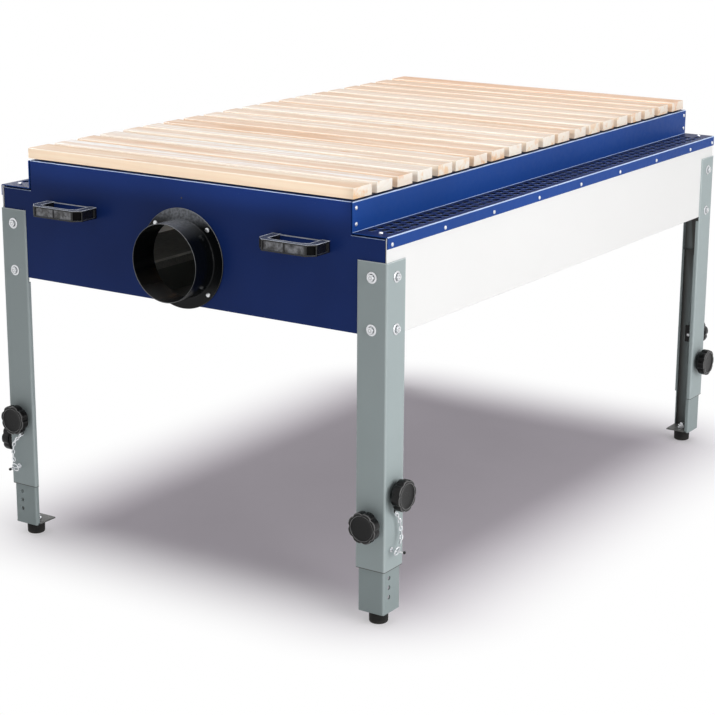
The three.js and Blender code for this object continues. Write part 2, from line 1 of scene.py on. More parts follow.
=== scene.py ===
"""Looks of a downdraft table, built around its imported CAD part.

Sizes are millimetres until a mesh is made. Places come from the frame's nodes wherever the frame has
them. X runs along the table away from the spigot, the front looks along -Y and the floor is at zero.
"""

import math
import random

import bmesh
import bpy
from mathutils import Matrix, Vector


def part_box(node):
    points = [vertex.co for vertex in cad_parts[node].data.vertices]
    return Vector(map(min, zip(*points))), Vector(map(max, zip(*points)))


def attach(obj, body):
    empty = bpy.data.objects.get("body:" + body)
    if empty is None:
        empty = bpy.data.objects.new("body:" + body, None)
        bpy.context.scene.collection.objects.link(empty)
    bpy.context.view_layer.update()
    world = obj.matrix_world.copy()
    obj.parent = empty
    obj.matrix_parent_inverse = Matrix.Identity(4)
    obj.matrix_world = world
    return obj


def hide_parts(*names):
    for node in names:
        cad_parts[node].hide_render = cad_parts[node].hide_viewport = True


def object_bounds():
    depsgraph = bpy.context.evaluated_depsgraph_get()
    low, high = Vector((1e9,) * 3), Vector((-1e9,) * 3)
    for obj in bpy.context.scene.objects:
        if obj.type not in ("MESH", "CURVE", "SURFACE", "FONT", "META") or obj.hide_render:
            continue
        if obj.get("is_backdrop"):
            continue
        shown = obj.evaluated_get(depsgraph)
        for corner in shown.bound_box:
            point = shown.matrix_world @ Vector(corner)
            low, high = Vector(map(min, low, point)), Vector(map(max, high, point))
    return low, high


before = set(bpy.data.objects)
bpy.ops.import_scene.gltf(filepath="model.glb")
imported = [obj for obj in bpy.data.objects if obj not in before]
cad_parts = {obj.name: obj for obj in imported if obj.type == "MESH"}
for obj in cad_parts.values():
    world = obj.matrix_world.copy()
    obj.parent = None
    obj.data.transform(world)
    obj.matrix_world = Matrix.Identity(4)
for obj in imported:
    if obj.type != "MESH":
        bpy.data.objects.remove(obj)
cad_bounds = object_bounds()

MM = 0.001
TURN = 2 * math.pi
HALF, QUARTER = TURN / 2, TURN / 4
CORNERS = ((1, 1), (-1, 1), (-1, -1), (1, -1))
SMOOTH_BELOW = 35

# Sheets, as in the part
SHEET, LEG_SHEET = 2, 3
FIT_GAP, SEAM = 0.3, 2
BEND_INSIDE, LEG_BEND_INSIDE, BEND_STEPS = 0.6, 1.2, 6
RAW_EDGE, FOLD_LINE = 0.35, 1.4

# Suction box
TOP_RETURN, END_FLANGE = 27, 20
SIDE_FOLD_DEPTH, SIDE_BOTTOM_FOLD, SIDE_TOP_FOLD = 45, 18, 8
SLOT_LENGTH, SLOT_WIDTH, SLOT_CORNER = 20, 15, 6.5
SLOT_PITCH, SLOT_START = 28.65, 41
SLOT_ROW_INSET, SLOT_ROW_SPACING, SLOT_ROWS = 21.3, 20, 3
DISH_RIM, RIM_HEIGHT, DISH_TAPER, DISH_DEPTH = 1.6, 0.5, 3, 6
RIB_BAND = 15

# Fasteners of the box. Screws are (radius, height).
RIVET_RADIUS, RIVET_HEIGHT = 4.1, 1.9
RIM_RIVET_START, RIM_RIVET_PITCH, RIM_RIVET_DROP = 15, 192, 15.5
WALL_RIVET_INSET, WALL_RIVET_DROPS = 11.5, (13, 44)
LEDGE_SCREW, LEDGE_SCREW_INSET, LEDGE_SCREW_Y = (4.6, 3.2), 24, 31
END_SCREW, END_SCREW_RISE = (1.7, 1.2), 20
HEAD_SINK = 0.4

# Spigot
TUBE_RADIUS, TUBE_WALL, TUBE_REACH, TUBE_INSIDE, TUBE_STEPS = 80, 1.5, 60, 5, 144
FLANGE_RADIUS, FLANGE_THICKNESS, FLANGE_EASE, FLANGE_FILLET = 102.5, 2.5, 0.6, 2.5
FLANGE_SCREW, SCREW_CIRCLE, SCREW_HOLE, SCREW_SHANK = (5, 3), 92.4, 3, 2.4
TUBE_RIVET, TUBE_RIVET_OUT, TUBE_RIVET_RISES = (2.9, 1.5), 11, (48.4, -51.4)
SHEEN_START, SHEEN_FULL = 66, 94

# Handles, from the end panel's face and each handle's own middle
HANDLE_LENGTH, HANDLE_HEIGHT, HANDLE_DEPTH = 134, 22.5, 59.5
HANDLE_CHAMFER, HANDLE_FOOT, HANDLE_GRIP = 15, 18, 10
HANDLE_WALL, HANDLE_RECESS, HANDLE_ROUND = 2.2, 3, 0.9
HANDLE_BACK, HANDLE_FRONT = FIT_GAP, HANDLE_DEPTH + FIT_GAP
HANDLE_HALF = HANDLE_LENGTH / 2
HANDLE_GAP = HANDLE_HALF - HANDLE_FOOT
HANDLE_CORNER = HANDLE_FRONT - HANDLE_CHAMFER
HANDLE_SLANT = HANDLE_CHAMFER * math.sqrt(2) / 2 - HANDLE_WALL
RECESS_REACH = HANDLE_HALF - HANDLE_CHAMFER - 1.6 * HANDLE_WALL
RECESS_BOTTOM, RECESS_TOP = HANDLE_WALL + 0.4, HANDLE_HEIGHT - HANDLE_WALL - 0.8

# Slats
SLAT_ROUND, SLAT_END_ROUND, SLAT_LOWER_ROUND = 2.5, 0.9, 0.8
SLAT_CORNER_STEPS, SLAT_STATIONS = 5, 24
KNOT_RADIUS, KNOT_LENGTH = 7, 22
GRAIN_REACH = 5

# Legs, from each leg's outer corner
LEG_WIDTH, LEG_LIP, LIP_NOTCH = 68, 10, 10.3
LEG_PLAY, LIP_PLAY, LEG_TRAVEL = 0.5, 1.5, 80
# a leg's cut-edge band, and the strength of the painted highlight on its top edge
CUT_EDGE, TOP_EDGE_HIGHLIGHT = 1.2, 2.6
BOLT_DROP, LOWER_BOLT_RISE, BOLT_TURN = 30.4, 13.2, 17
BOLT_SHANK, BOLT_FLANGE, BOLT_HEAD = 4, 11.5, 7.5
BOLT_FLANGE_THICKNESS, BOLT_HEAD_HEIGHT, NUT_HEIGHT, BOLT_TAIL = 2, 4.5, 6.5, 2
HEX_CHAMFER, HEX_STEPS = 1, 48
UPPER_KNOB_RISE, LOWER_KNOB_RISE, STUD_HOLE = 155.5, 95, 4.7
PIN_RISE, PIN_INSET, PIN_HOLE = 43, 23.5, 4.6
PIN_PITCH, PIN_HOLES_BELOW, PIN_HOLES_ABOVE = 20, 5, 4
FOOT_PLATE, FOOT_PLATE_CORNER = 3, 4
FOOT_RADIUS, FOOT_HEIGHT, FOOT_ROUND, FOOT_FLARE = 19.5, 27.5, 4, 0.5
FOOT_STUD, FOOT_NUT, FOOT_NUT_HEIGHT, FOOT_WASHER, FOOT_TAIL = 5, 9.8, 8, 1.4, 5
FOOT_NUT_TURN, FOOT_NUT_STEP = 20, 31
KNOB_RADIUS, KNOB_LOBES, KNOB_LOBE_DEPTH = 32.5, 8, 3
KNOB_STAND, KNOB_THICKNESS, KNOB_HUB, KNOB_SKIRT = 11.5, 19.5, 14, 25
KNOB_FACE, KNOB_FACE_DEPTH = 25, 2.5
KNOB_TURN, KNOB_TURN_STEP, LOWER_KNOB_TURN = 9, 23, 13
STUD_RADIUS, STUD_REACH = 4, 24
CLAMP_WIDTH, CLAMP_HEIGHT, CLAMP_THICKNESS = 28, 42, 4
PIN_RADIUS, PIN_REACH, PIN_COLLAR, PIN_COLLAR_THICKNESS = 2.7, 33, 5.4, 1.6
PIN_RING, PIN_RING_OUT, PIN_RING_TILT, PIN_RING_WIRE = 8.4, 14, 2.5, 1.4
PIN_TIP, PIN_TIP_LENGTH = 3, 4.5

# Chain: places given from the hook to the pin, on a face along the table's side or on one at its end.
# They are distance from the leg's outer corner and height, and how far the chain stands out.
CHAIN_RUNS = {
    "side": [(20, 243), (31, 231), (38, 218), (41, 203), (41, 187), (33, 171)],
    "end": [(44, 241), (31, 229), (20, 217), (17, 201), (17, 186), (21, 171)],
}
CHAIN_OUTS = (9, 9.5, 10, 11, 12.5, 14)
LINK_WIRE, LINK_LENGTH, LINK_WIDTH, LINK_PLAY, LINK_TWIST = 1.5, 12, 8.4, 0.3, 45
HOOK_WIRE, HOOK_OUT, HOOK_EYE, HOOK_EYE_RISE = 1.5, 5.5, 3.2, 1.2

# Camera: where it stands on the body's own axes, and how it looks
CAMERA_PLACE = (-3722.2, -2380.83, 1519.23)
CAMERA_AZIMUTH, CAMERA_ELEVATION, CAMERA_ROLL = -56.685, 15.295, 0.318
CAMERA_LENS = 97.97

# Light, in metres: each lamp's place, aim, size and the radiance of its face
WORLD_LIGHT = 0.27
LAMPS = {
    "overhead": ((0.0, 0.0, 4.2), (0, 0, 0), (3.2, 2.6), 3.3),
    "front_fill": ((-0.8, -4.0, 1.5), (-0.1, 0, 0.5), (3.8, 2.2), 3.25),
    "rear_fill": ((1.2, 4.2, 1.6), (0.1, 0, 0.5), (3.4, 2.0), 1.8),
}
STRIP_LEAN, STRIP_DISTANCE, STRIP_SPREAD, STRIP_POWER = 20, 3.2, 1.5, 0.92
STRIP_SIZE, STRIP_SHIFT, STRIP_DROP = (1.0, 0.58), 0.1, 0.02

# Floor, in metres: the half sizes and the middle of the patch round the table that keeps its painted shade
# tint, and how far it fades
FLOOR_SIZE, FLOOR_DROP = 30, 0.0005
FLOOR_MIDDLE_X, FLOOR_HALF_X, FLOOR_HALF_Y, FLOOR_FADE = 0.04, 0.59, 0.35, 0.42


def low(node):
    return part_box(node)[0] / MM


def high(node):
    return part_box(node)[1] / MM


END_X0 = low("duct_end_panel").x
END_X1 = high("far_end_panel").x
MIDDLE_X = (END_X0 + END_X1) / 2
END_FACE = (END_X1 - END_X0) / 2
SIDE_FACE = high("rear_side_panel").y
RIM_FACE = high("rear_ledge_panel").y
UPPER_FACE = high("slat_01").y
BODY_BOTTOM = low("duct_end_panel").z
BOX_TOP = high("duct_end_panel").z
RIM_BOTTOM = low("front_ledge_panel").z
SIDE_TOP = high("front_side_panel").z
LEDGE_TOP = SIDE_TOP + FIT_GAP + SHEET
TUBE_HEIGHT = (low("duct_spigot").z + high("duct_spigot").z) / 2
SHOULDER = BODY_BOTTOM + 2 * (TUBE_HEIGHT - BODY_BOTTOM)
RIB_TOP = high("floor_pan").z
CORNER_X = END_FACE + FIT_GAP + LEG_SHEET
CORNER_Y = SIDE_FACE + FIT_GAP + LEG_SHEET
OUTER_BOTTOM = low("duct_front_outer_leg").z
OUTER_TOP = high("duct_front_outer_leg").z
INNER_BOTTOM = low("duct_front_inner_leg").z
INNER_TOP = high("duct_front_inner_leg").z
INNER_OFFSET = LEG_SHEET + LEG_PLAY
INNER_EDGE = LEG_WIDTH - LEG_SHEET - LIP_PLAY
LEG_MIDDLE = LEG_WIDTH / 2
BOLT_HEIGHTS = (OUTER_TOP - BOLT_DROP, BODY_BOTTOM + LOWER_BOLT_RISE)


# Shapes

class Shape:
    """Points in millimetres with their edge light, which paints highlights on folds and edges and shade where
    negative, and faces.
    """

    def __init__(self):
        self.points = []
        self.light = []
        self.faces = []

    def loop(self, points, light=0.0):
        start = len(self.points)
        self.points += [Vector(p) for p in points]
        self.light += list(light) if hasattr(light, "__len__") else [light] * len(points)
        return list(range(start, len(self.points)))

    def band(self, a, b):
        """Faces between two loops, one of which may be a single point."""
        count = max(len(a), len(b))
        for i in range(count):
            j = (i + 1) % count
            corners = (a[i % len(a)], a[j % len(a)], b[j % len(b)], b[i % len(b)])
            self.faces.append(tuple(dict.fromkeys(corners)))

    def skin(self, loops, lids=True):
        """Joins a row of loops, with a lid at each end where it is wanted."""
        for a, b in zip(loops, loops[1:]):
            self.band(a, b)
        if lids:
            self.faces += [tuple(loops[0]), tuple(loops[-1])]
        return self

    def add(self, other, matrix=None):
        start = len(self.points)
        self.points += [matrix @ p if matrix else p.copy() for p in other.points]
        self.light += other.light
        self.faces += [tuple(i + start for i in face) for face in other.faces]
        return self

    def moved(self, matrix):
        return Shape().add(self, matrix)


def along_x(u, v, t):
    return (t, u, v)


def along_z(u, v, t):
    return (u, v, t)


def swept(outline, stations, axes=along_z):
    """A closed outline of (u, v) or (u, v, light), swept through stations of (place, light).

    A light of None keeps the outline's own.
    """
    shape = Shape()
    own = [p[2] if len(p) > 2 else 0.0 for p in outline]
    loops = [
        shape.loop([axes(p[0], p[1], place) for p in outline], own if light is None else light)
        for place, light in stations
    ]
    return shape.skin(loops)


def prism(outline, start, stop, axes=along_z):
    return swept(outline, ((start, None), (stop, None)), axes)


def cut_prism(outline, start, stop, edge):
    """A prism along Z whose lower cut edge is painted dark as shade and whose upper one carries a painted
    highlight.
    """
    return swept(outline, (
        (start, -1.0), (start + edge, -1.0), (start + 1.5 * edge, None), (stop - 1.2 * edge, None),
        (stop - edge, TOP_EDGE_HIGHLIGHT), (stop, TOP_EDGE_HIGHLIGHT),
    ))


def block(x, y, z):
    return prism([(x[0], y[0]), (x[1], y[0]), (x[1], y[1]), (x[0], y[1])], z[0], z[1])


def around(steps, point):
    """Points at even angles, each made from its cosine and sine."""
    angles = [TURN * i / steps for i in range(steps)]
    return [point(math.cos(angle), math.sin(angle)) for angle in angles]


def arc(u, v, radius, start, turn, steps):
    """Points along a part of a circle about (u, v)."""
    angles = [start + turn * i / steps for i in range(steps + 1)]
    return [(u + radius * math.cos(angle), v + radius * math.sin(angle)) for angle in angles]


def rounded_rectangle(length, width, corner):
    points = []
    for quarter, (sx, sy) in enumerate(CORNERS):
        u, v = sx * (length / 2 - corner), sy * (width / 2 - corner)
        points += arc(u, v, corner, quarter * QUARTER, QUARTER, 4)
    return points


def stadium(radius, half, steps):
    """Two half circles, whose middles lie half above and half below zero."""
    return arc(0, half, radius, 0, HALF, steps) + arc(0, -half, radius, HALF, HALF, steps)


def fold_light(part):
    """Light across a fold, from one bend line to the other."""
    return math.sin(math.pi * part) ** 0.5 if 0 < part < 1 else 0.0


def sheet_section(path, thickness, inside, right_shade=0.0):
    """The closed outline of a bent sheet whose middle runs along path. Points are (u, v, light).

    Both sides of a fold carry a painted highlight. A negative light on the path's right side paints that
    inner side in shade.
    """
    half = thickness / 2
    middle = inside + half
    path = [Vector(p) for p in path]
    left, right = [], []

    def normal_to(direction):
        return Vector((-direction.y, direction.x))

    def station(point, direction, left_light, right_light, out=half):
        left.append((*(point + normal_to(direction) * out), left_light))
        right.append((*(point - normal_to(direction) * out), right_light))

    def bend(before, corner, after):
        d0, d1 = (corner - before).normalized(), (after - corner).normalized()
        angle = math.atan2(d0.cross(d1), d0.dot(d1))
        side = 1 if angle > 0 else -1
        reach = middle * math.tan(abs(angle) / 2)
        centre = corner - d0 * reach + normal_to(d0) * side * middle
        station(corner - d0 * (reach + FOLD_LINE), d0, 0.0, right_shade)
        for i in range(BEND_STEPS + 1):
            direction = d0.copy()
            direction.rotate(Matrix.Rotation(angle * i / BEND_STEPS, 2))
            glow = fold_light(i / BEND_STEPS)
            left_light, right_light = (1.0, glow) if side > 0 else (glow, 1.0)
            point = centre - normal_to(direction) * side * middle
            station(point, direction, left_light, right_shade or right_light)
        station(corner + d1 * (reach + FOLD_LINE), d1, 0.0, right_shade)

    start, stop = (path[1] - path[0]).normalized(), (path[-1] - path[-2]).normalized()
    station(path[0], start, 1.0, 1.0, half - RAW_EDGE)
    station(path[0] + start * RAW_EDGE, start, 0.0, 0.0)
    for before, corner, after in zip(path, path[1:], path[2:]):
        bend(before, corner, after)
    station(path[-1] - stop * RAW_EDGE, stop, 0.0, 0.0)
    station(path[-1], stop, 1.0, 1.0, half - RAW_EDGE)
    return left + right[::-1]


def lathe(profile, steps, reach=None, lids=False):
    """A profile of (radius, height, light, share), turned about Z. The last two may be left out.

    A radius of zero closes it there. With reach(radius, angle, share) it is other than round.
    """
    shape = Shape()
    loops = []
    for radius, height, *more in profile:
        light, share = (*more, 0.0, 0.0)[:2]
        points = []
        for i in range(steps if radius else 1):
            angle = TURN * i / steps
            out = reach(radius, angle, share) if reach else radius
            points.append((out * math.cos(angle), out * math.sin(angle), height))
        loops.append(shape.loop(points, light))
    return shape.skin(loops, lids)


def bar(radius, start, stop, steps=32, round_edge=0.0):
    """A round bar along Z with eased ends."""
    ease = round_edge or min(radius, stop - start) * 0.08
    near = 0.3 * ease
    return lathe([
        (0, start), (radius - ease, start), (radius - near, start + near), (radius, start + ease),
        (radius, stop - ease), (radius - near, stop - near), (radius - ease, stop), (0, stop),
    ], steps)


def hexagon(radius, start, stop, dish=True):
    """A hexagon head or nut along Z, its corners turned down as on a real one."""
    inner = radius * math.cos(TURN / 12)

    def flats(limit, angle, *_):
        local = (angle + TURN / 12) % (TURN / 6) - TURN / 12
        return min(inner / math.cos(local), limit)

    # the base ring and the dish are painted dark as shade
    profile = [
        (radius, start, -1.0), (radius, min(start + 2.2, (start + stop) / 2)), (radius, stop - HEX_CHAMFER),
        ((radius + inner) / 2, stop - 0.45 * HEX_CHAMFER, 0.6), (0.97 * inner, stop, 0.3),
        (0.6 * inner, stop),
    ]
    if dish:
        profile += [(0.5 * inner, stop - 0.5, -0.8), (0.3 * inner, stop - 0.4)]
    return lathe(profile, HEX_STEPS, flats, lids=True)


def wire_loop(points, radius, sides=10):
    """A round wire along a smooth closed run of points."""
    shape = Shape()
    points = [Vector(p) for p in points]
    loops = []
    side = None
    for before, point, after in zip(points[-1:] + points, points, points[1:] + points[:1]):
        direction = (after - before).normalized()
        if side is None:
            side = direction.orthogonal().normalized()
        side = (side - direction * side.dot(direction)).normalized()
        other = direction.cross(side)
        loops.append(shape.loop(around(sides, lambda c, s: point + side * radius * c + other * radius * s)))
    first, last = loops[0], loops[-1]
    twist = min(range(sides), key=lambda k: (shape.points[last[k]] - shape.points[first[0]]).length)
    shape.skin(loops, lids=False)
    shape.band(last[twist:] + last[:twist], first)
    return shape


def shifted(x, y, z):
    return Matrix.Translation((x, y, z))


def spin(degrees, axis="Z"):
    return Matrix.Rotation(math.radians(degrees), 4, axis)


OUT_OF_FRONT = spin(90, "X")
HALF_TURN = spin(180)

# The box is drawn from its own centre; this moves it onto the frame
TO_FRAME = shifted(MIDDLE_X, 0, 0)


def on_duct_end(y, z, out=0.0):
    """Turns what is drawn along Z to point out of the duct end's face."""
    return shifted(-END_FACE - out, y, z) @ spin(-90, "Y")


# Meshes and pieces

def new_mesh(shape, name):
    """A Blender mesh in metres, with clean outward faces."""
    mesh = bpy.data.meshes.new(name)
    mesh.from_pydata([p * MM for p in shape.points], [], shape.faces)
    mesh.attributes.new("edge_light", "FLOAT", "POINT").data.foreach_set("value", shape.light)
    work = bmesh.new()
    work.from_mesh(mesh)
    bmesh.ops.remove_doubles(work, verts=work.verts, dist=1e-7)
    bmesh.ops.recalc_face_normals(work, faces=work.faces)
    work.to_mesh(mesh)
    work.free()
    return mesh


def piece(shape, name, material, body="root", stands_for=None):
    """Makes a shape a named piece that rides on a body and takes the given finish."""
    mesh = new_mesh(shape, name)
    mesh.materials.append(material)
    mesh.polygons.foreach_set("use_smooth", [True] * len(mesh.polygons))
    mesh.set_sharp_from_angle(angle=math.radians(SMOOTH_BELOW))
    thing = bpy.data.objects.new(name, mesh)
    bpy.context.scene.collection.objects.link(thing)
    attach(thing, body)
    if stands_for:
        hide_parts(stands_for)
    return thing


def carved(shape, cutters):
    """A shape with others cut out of it."""
    things = [bpy.data.objects.new("carving", new_mesh(part, "carving")) for part in (shape, cutters)]
    for thing in things:
        bpy.context.scene.collection.objects.link(thing)
    whole, tool = things
    cut = whole.modifiers.new("cut", "BOOLEAN")
    cut.operation = "DIFFERENCE"
    cut.solver = "EXACT"
    cut.object = tool
    bpy.context.view_layer.update()
    mesh = bpy.data.meshes.new_from_object(whole.evaluated_get(bpy.context.evaluated_depsgraph_get()))
    light = [0.0] * len(mesh.vertices)
    mesh.attributes["edge_light"].data.foreach_get("value", light)
    result = Shape()
    result.loop([v.co / MM for v in mesh.vertices], light)
    result.faces = [tuple(p.vertices) for p in mesh.polygons]
    spent = [thing.data for thing in things] + [mesh]
    for thing in things:
        bpy.data.objects.remove(thing)
    for data in spent:
        bpy.data.meshes.remove(data)
    return result


def soften(thing, width, segments):
    bevel = thing.modifiers.new("soft_edges", "BEVEL")
    bevel.width = width * MM
    bevel.segments = segments
    bevel.limit_method = "ANGLE"
    bevel.angle_limit = math.radians(40)
    bevel.harden_normals = True


# Finishes

class Nodes:
    """Short words for the nodes of a material or a world."""

    def __init__(self, tree):
        self.nodes = tree.nodes
        self.links = tree.links

    def node(self, kind, links=None, **settings):
        made = self.nodes.new("ShaderNode" + kind)
        for key, value in settings.items():
            setattr(made, key, value)
        for key, value in (links or {}).items():
            self.feed(made.inputs[key], value)
        return made

    def feed(self, socket, value):
        if isinstance(value, bpy.types.NodeSocket):
            self.links.new(value, socket)
        else:
            socket.default_value = value

    def math(self, operation, a, b=0.0, c=0.0, clamp=False):
        made = self.node("Math", operation=operation, use_clamp=clamp)
        for socket, value in zip(made.inputs, (a, b, c)):
            self.feed(socket, value)
        return made.outputs[0]

    def times(self, product, *factors):
        for factor in factors:
            product = self.math("MULTIPLY", product, factor)
        return product

    def ramp(self, value, start, stop, low=0.0, high=1.0):
        made = self.node("MapRange", {
            "Value": value, "From Min": start, "From Max": stop, "To Min": low, "To Max": high,
        }, interpolation_type="SMOOTHSTEP")
        return made.outputs["Result"]

    def mix(self, share, a, b, blend="MIX"):
        made = self.node("Mix", data_type="RGBA", blend_type=blend)
        for socket, value in zip((made.inputs[0], made.inputs[6], made.inputs[7]), (share, a, b)):
            self.feed(socket, value)
        return made.outputs[2]

    def over(self, base, colour, *shares):
        """Lays a colour over the base, by the product of the shares."""
        return self.mix(self.times(*shares), base, colour)

    def stained(self, colour, factor):
        return self.mix(1.0, colour, factor, "MULTIPLY")

    def vector(self, operation, a, b):
        return self.node("VectorMath", {0: a, 1: b}, operation=operation).outputs["Vector"]

    def part(self, vector, axis):
        return self.node("SeparateXYZ", {"Vector": vector}).outputs[axis]


class Finish(Nodes):
    """A material on the object's own coordinates."""

    def __init__(self, name):
        self.material = bpy.data.materials.new(name)
        self.material.use_nodes = True
        super().__init__(self.material.node_tree)
        self.shader = self.nodes["Principled BSDF"]
        self.place = self.node("TexCoord").outputs["Object"]

    def scaled(self, x, y, z, place=None):
        return self.node("Mapping", {"Vector": place or self.place, "Scale": (x, y, z)}).outputs["Vector"]

    def noise(self, scale, detail=4.0, rough=0.55, place=None):
        made = self.node("TexNoise", {
            "Vector": place or self.place, "Scale": scale, "Detail": detail, "Roughness": rough,
        })
        return made.outputs["Fac"]

    def patches(self, kind, low=0.0, high=1.0):
        """Soft patches of a kind: scale, detail, and the two noise values between which they fade in."""
        scale, detail, start, stop = kind
        return self.ramp(self.noise(scale, detail), start, stop, low, high)

    def attribute(self, name, output):
        return self.node("Attribute", attribute_name=name).outputs[output]

    def edge_light(self):
        return self.attribute("edge_light", "Fac")

    def facing(self, axis):
        return self.part(self.node("NewGeometry").outputs["Normal"], axis)

    def facing_up(self):
        return self.ramp(self.facing("Z"), 0.6, 0.95)

    def bump(self, height, strength, distance):
        links = {"Height": height, "Strength": strength, "Distance": distance}
        return self.node("Bump", links).outputs["Normal"]

    def done(self, colour, roughness, normal=None, metallic=0.0, specular=0.5, coat=0.0):
        self.feed(self.shader.inputs["Base Color"], colour)
        self.feed(self.shader.inputs["Roughness"], roughness)
        self.feed(self.shader.inputs["Metallic"], metallic)
        self.shader.inputs["Specular IOR Level"].default_value = specular
        self.shader.inputs["Coat Weight"].default_value = coat
        self.shader.inputs["Coat Roughness"].default_value = 0.3
        if normal:
            self.links.new(normal, self.shader.inputs["Normal"])
        return self.material


def rgb(red, green, blue):
    """Eight-bit colour as written on a picture, as the shader's linear colour."""
    def linear(value):
        value /= 255
        return value / 12.92 if value <= 0.04045 else ((value + 0.055) / 1.055) ** 2.4
    return (linear(red), linear(green), linear(blue), 1.0)


def factor(red, green, blue):
    """What a colour is multiplied by."""
    return (red, green, blue, 1.0)


def shade(colour, share):
    return tuple(min(1.0, c * share) for c in colour[:3]) + (1.0,)


# Kinds of patches: scale, detail, and the two noise values between which they fade in
CLOUDS = (2.5, 3, 0.3, 0.7)
EDGE_LIGHT_PATCHES = (14, 5, 0.25, 0.6)
DUST = (9, 6, 0.35, 0.75)
SHEEN_PATCHES = (180, 5, 0.3, 0.7)
SPECKS = (260, 2, 0.7, 0.78)
GLOSS = (90, 3, 0.3, 0.7)
PLATE_CLOUDS = (120, 5, 0.3, 0.7)
PLATE_STAINS = (45, 6, 0.6, 0.75)
GRIME = (7, 5, 0.55, 0.8)
RUBBER_CLOUDS = (40, 5, 0.3, 0.7)
RUBBER_DUST = (60, 5, 0.3, 0.7)
FLOOR_CLOUDS = (5, 3, 0.3, 0.7)


def enamel(name, colour, edge_highlight_colour, rough, specular, edge_highlight_share=0.9, dust=0.06, peel=0.05, vary=0.08,
           painted_top_share=0.0, painted_top_colour=None, painted_shade_colour=None, edge_facing=(-2, -1), sheen=None, coat=0.0):
    """Powder coat: a fine orange peel, faint clouding, painted highlights on folds and a little dust on what
    looks up.

    A sheen is a band of heights painted paler, as a highlight: start, full, end and colour.
    """
    f = Finish(name)
    base = f.mix(f.patches(CLOUDS), shade(colour, 1 - vary), shade(colour, 1 + vary))
    up = f.facing_up()
    # a colour painted on what looks up: darker as painted shade, paler as a painted highlight
    if painted_top_colour:
        base = f.over(base, painted_top_colour, up, painted_top_share)
    light = f.edge_light()
    # painted shade where the edge light is negative, on inner sides, hollows and cut edges
    if painted_shade_colour:
        base = f.mix(f.math("MULTIPLY", light, -1.0, clamp=True), base, painted_shade_colour)
    # painted highlights on folds and edges, where the edge light is positive
    lit = f.times(f.math("MAXIMUM", light, 0.0), f.ramp(f.facing("Z"), *edge_facing))
    base = f.over(base, edge_highlight_colour, lit, f.patches(EDGE_LIGHT_PATCHES, 0.75, 1.0), edge_highlight_share)
    base = f.over(base, rgb(196, 190, 182), up, f.patches(DUST, 0.0, dust))
    # a band of heights painted paler as a highlight
    if sheen:
        start, full, end, sheen_colour = sheen
        height = f.part(f.node("NewGeometry").outputs["Position"], "Z")
        band = f.times(f.ramp(height, start * MM, full * MM), f.ramp(height, (end + 1) * MM, end * MM))
        base = f.over(base, sheen_colour, band, f.patches(SHEEN_PATCHES, 0.45, 1.0))
    base = f.over(base, rgb(210, 205, 200), f.patches(SPECKS), 0.03)
    shine = f.math("MULTIPLY_ADD", f.patches(GLOSS), 0.08, rough)
    normal = f.bump(f.noise(420, 2), peel, 0.0004)
    return f.done(base, shine, normal, specular=specular, coat=coat)


def moulded(name, colour, rough, specular, grain=0.12, edge_highlight_colour=rgb(120, 120, 118), edge_highlight_share=0.6,
            painted_top_colour=None, scuff=0.15, low_share=0.8, cloud=30):
    """Black moulded plastic with a fine spark-eroded grain and painted highlights on its edges."""
    f = Finish(name)
    base = f.mix(f.patches((cloud, 4, 0.35, 0.7)), shade(colour, low_share), colour)
    # a paler colour painted on what looks up, as a painted reflection
    if painted_top_colour:
        base = f.over(base, painted_top_colour, f.facing_up(), 0.8)
    # painted highlights on edges
    base = f.over(base, edge_highlight_colour, f.edge_light(), edge_highlight_share)
    scuffs = f.ramp(f.noise(22, 8, 0.75, f.scaled(1, 1, 5)), 0.62, 0.7)
    base = f.over(base, rgb(150, 150, 150), scuffs, scuff)
    shine = f.math("MULTIPLY_ADD", f.noise(60, 4), 0.2, rough - 0.1)
    return f.done(base, shine, f.bump(f.noise(1500, 2), grain, 0.0003), specular=specular)


def plated(name, colour, rough):
    """Bright zinc plate with soft clouds and fine scratches, and painted shade at its joints."""
    f = Finish(name)
    base = f.mix(f.patches(PLATE_CLOUDS), shade(colour, 0.82), colour)
    base = f.over(base, rgb(120, 112, 98), f.patches(PLATE_STAINS), 0.25)
    # painted shade at joints, where the edge light is negative
    joint_shade = f.math("MULTIPLY", f.edge_light(), -0.85, clamp=True)
    base = f.mix(joint_shade, base, rgb(48, 46, 44))
    shine = f.math("MULTIPLY_ADD", f.noise(300, 4), 0.25, rough)
    scratches = f.noise(900, 3, 0.6, f.scaled(1, 1, 8))
    return f.done(base, shine, f.bump(scratches, 0.15, 0.0002), metallic=0.85)


def wood_grain(f, place):
    """Lines, bands and pores along the slat. Slow waves across it bend them."""
    wander = f.node("TexNoise", {"Vector": f.scaled(9, 1.1, 9, place), "Scale": 1.6, "Detail": 3.0})
    bend = f.vector("MULTIPLY", wander.outputs["Color"], (0.035, 0.0, 0.035))
    along = f.vector("ADD", f.scaled(1, 0.035, 1, place), bend)
    rings = f.node("TexWave", {
        "Vector": along, "Scale": 26.0, "Distortion": 5.0, "Detail": 3.0, "Detail Scale": 1.4,
    }, wave_type="RINGS", rings_direction="Y").outputs["Fac"]
    streaks = f.times(f.noise(150, 6, 0.65, along), 0.6)
    lines = f.math("MULTIPLY_ADD", f.ramp(rings, 0.1, 0.9), 0.4, streaks)
    pores = f.ramp(f.noise(700, 4, 0.6, along), 0.56, 0.68)
    return lines, f.noise(48, 3, 0.55, along), pores


def wood_knot(f, place):
    """A soft spot, drawn out along the slat."""
    from_knot = f.vector("SUBTRACT", f.place, f.attribute("knot_place", "Vector"))
    across = 1 / (KNOT_RADIUS * MM)
    reach = f.scaled(across, 1 / (KNOT_LENGTH * MM), across, from_knot)
    away = f.node("VectorMath", {0: reach}, operation="LENGTH").outputs["Value"]
    return f.ramp(f.math("ADD", away, f.noise(90, 4, 0.6, place)), 1.5, 0.7)


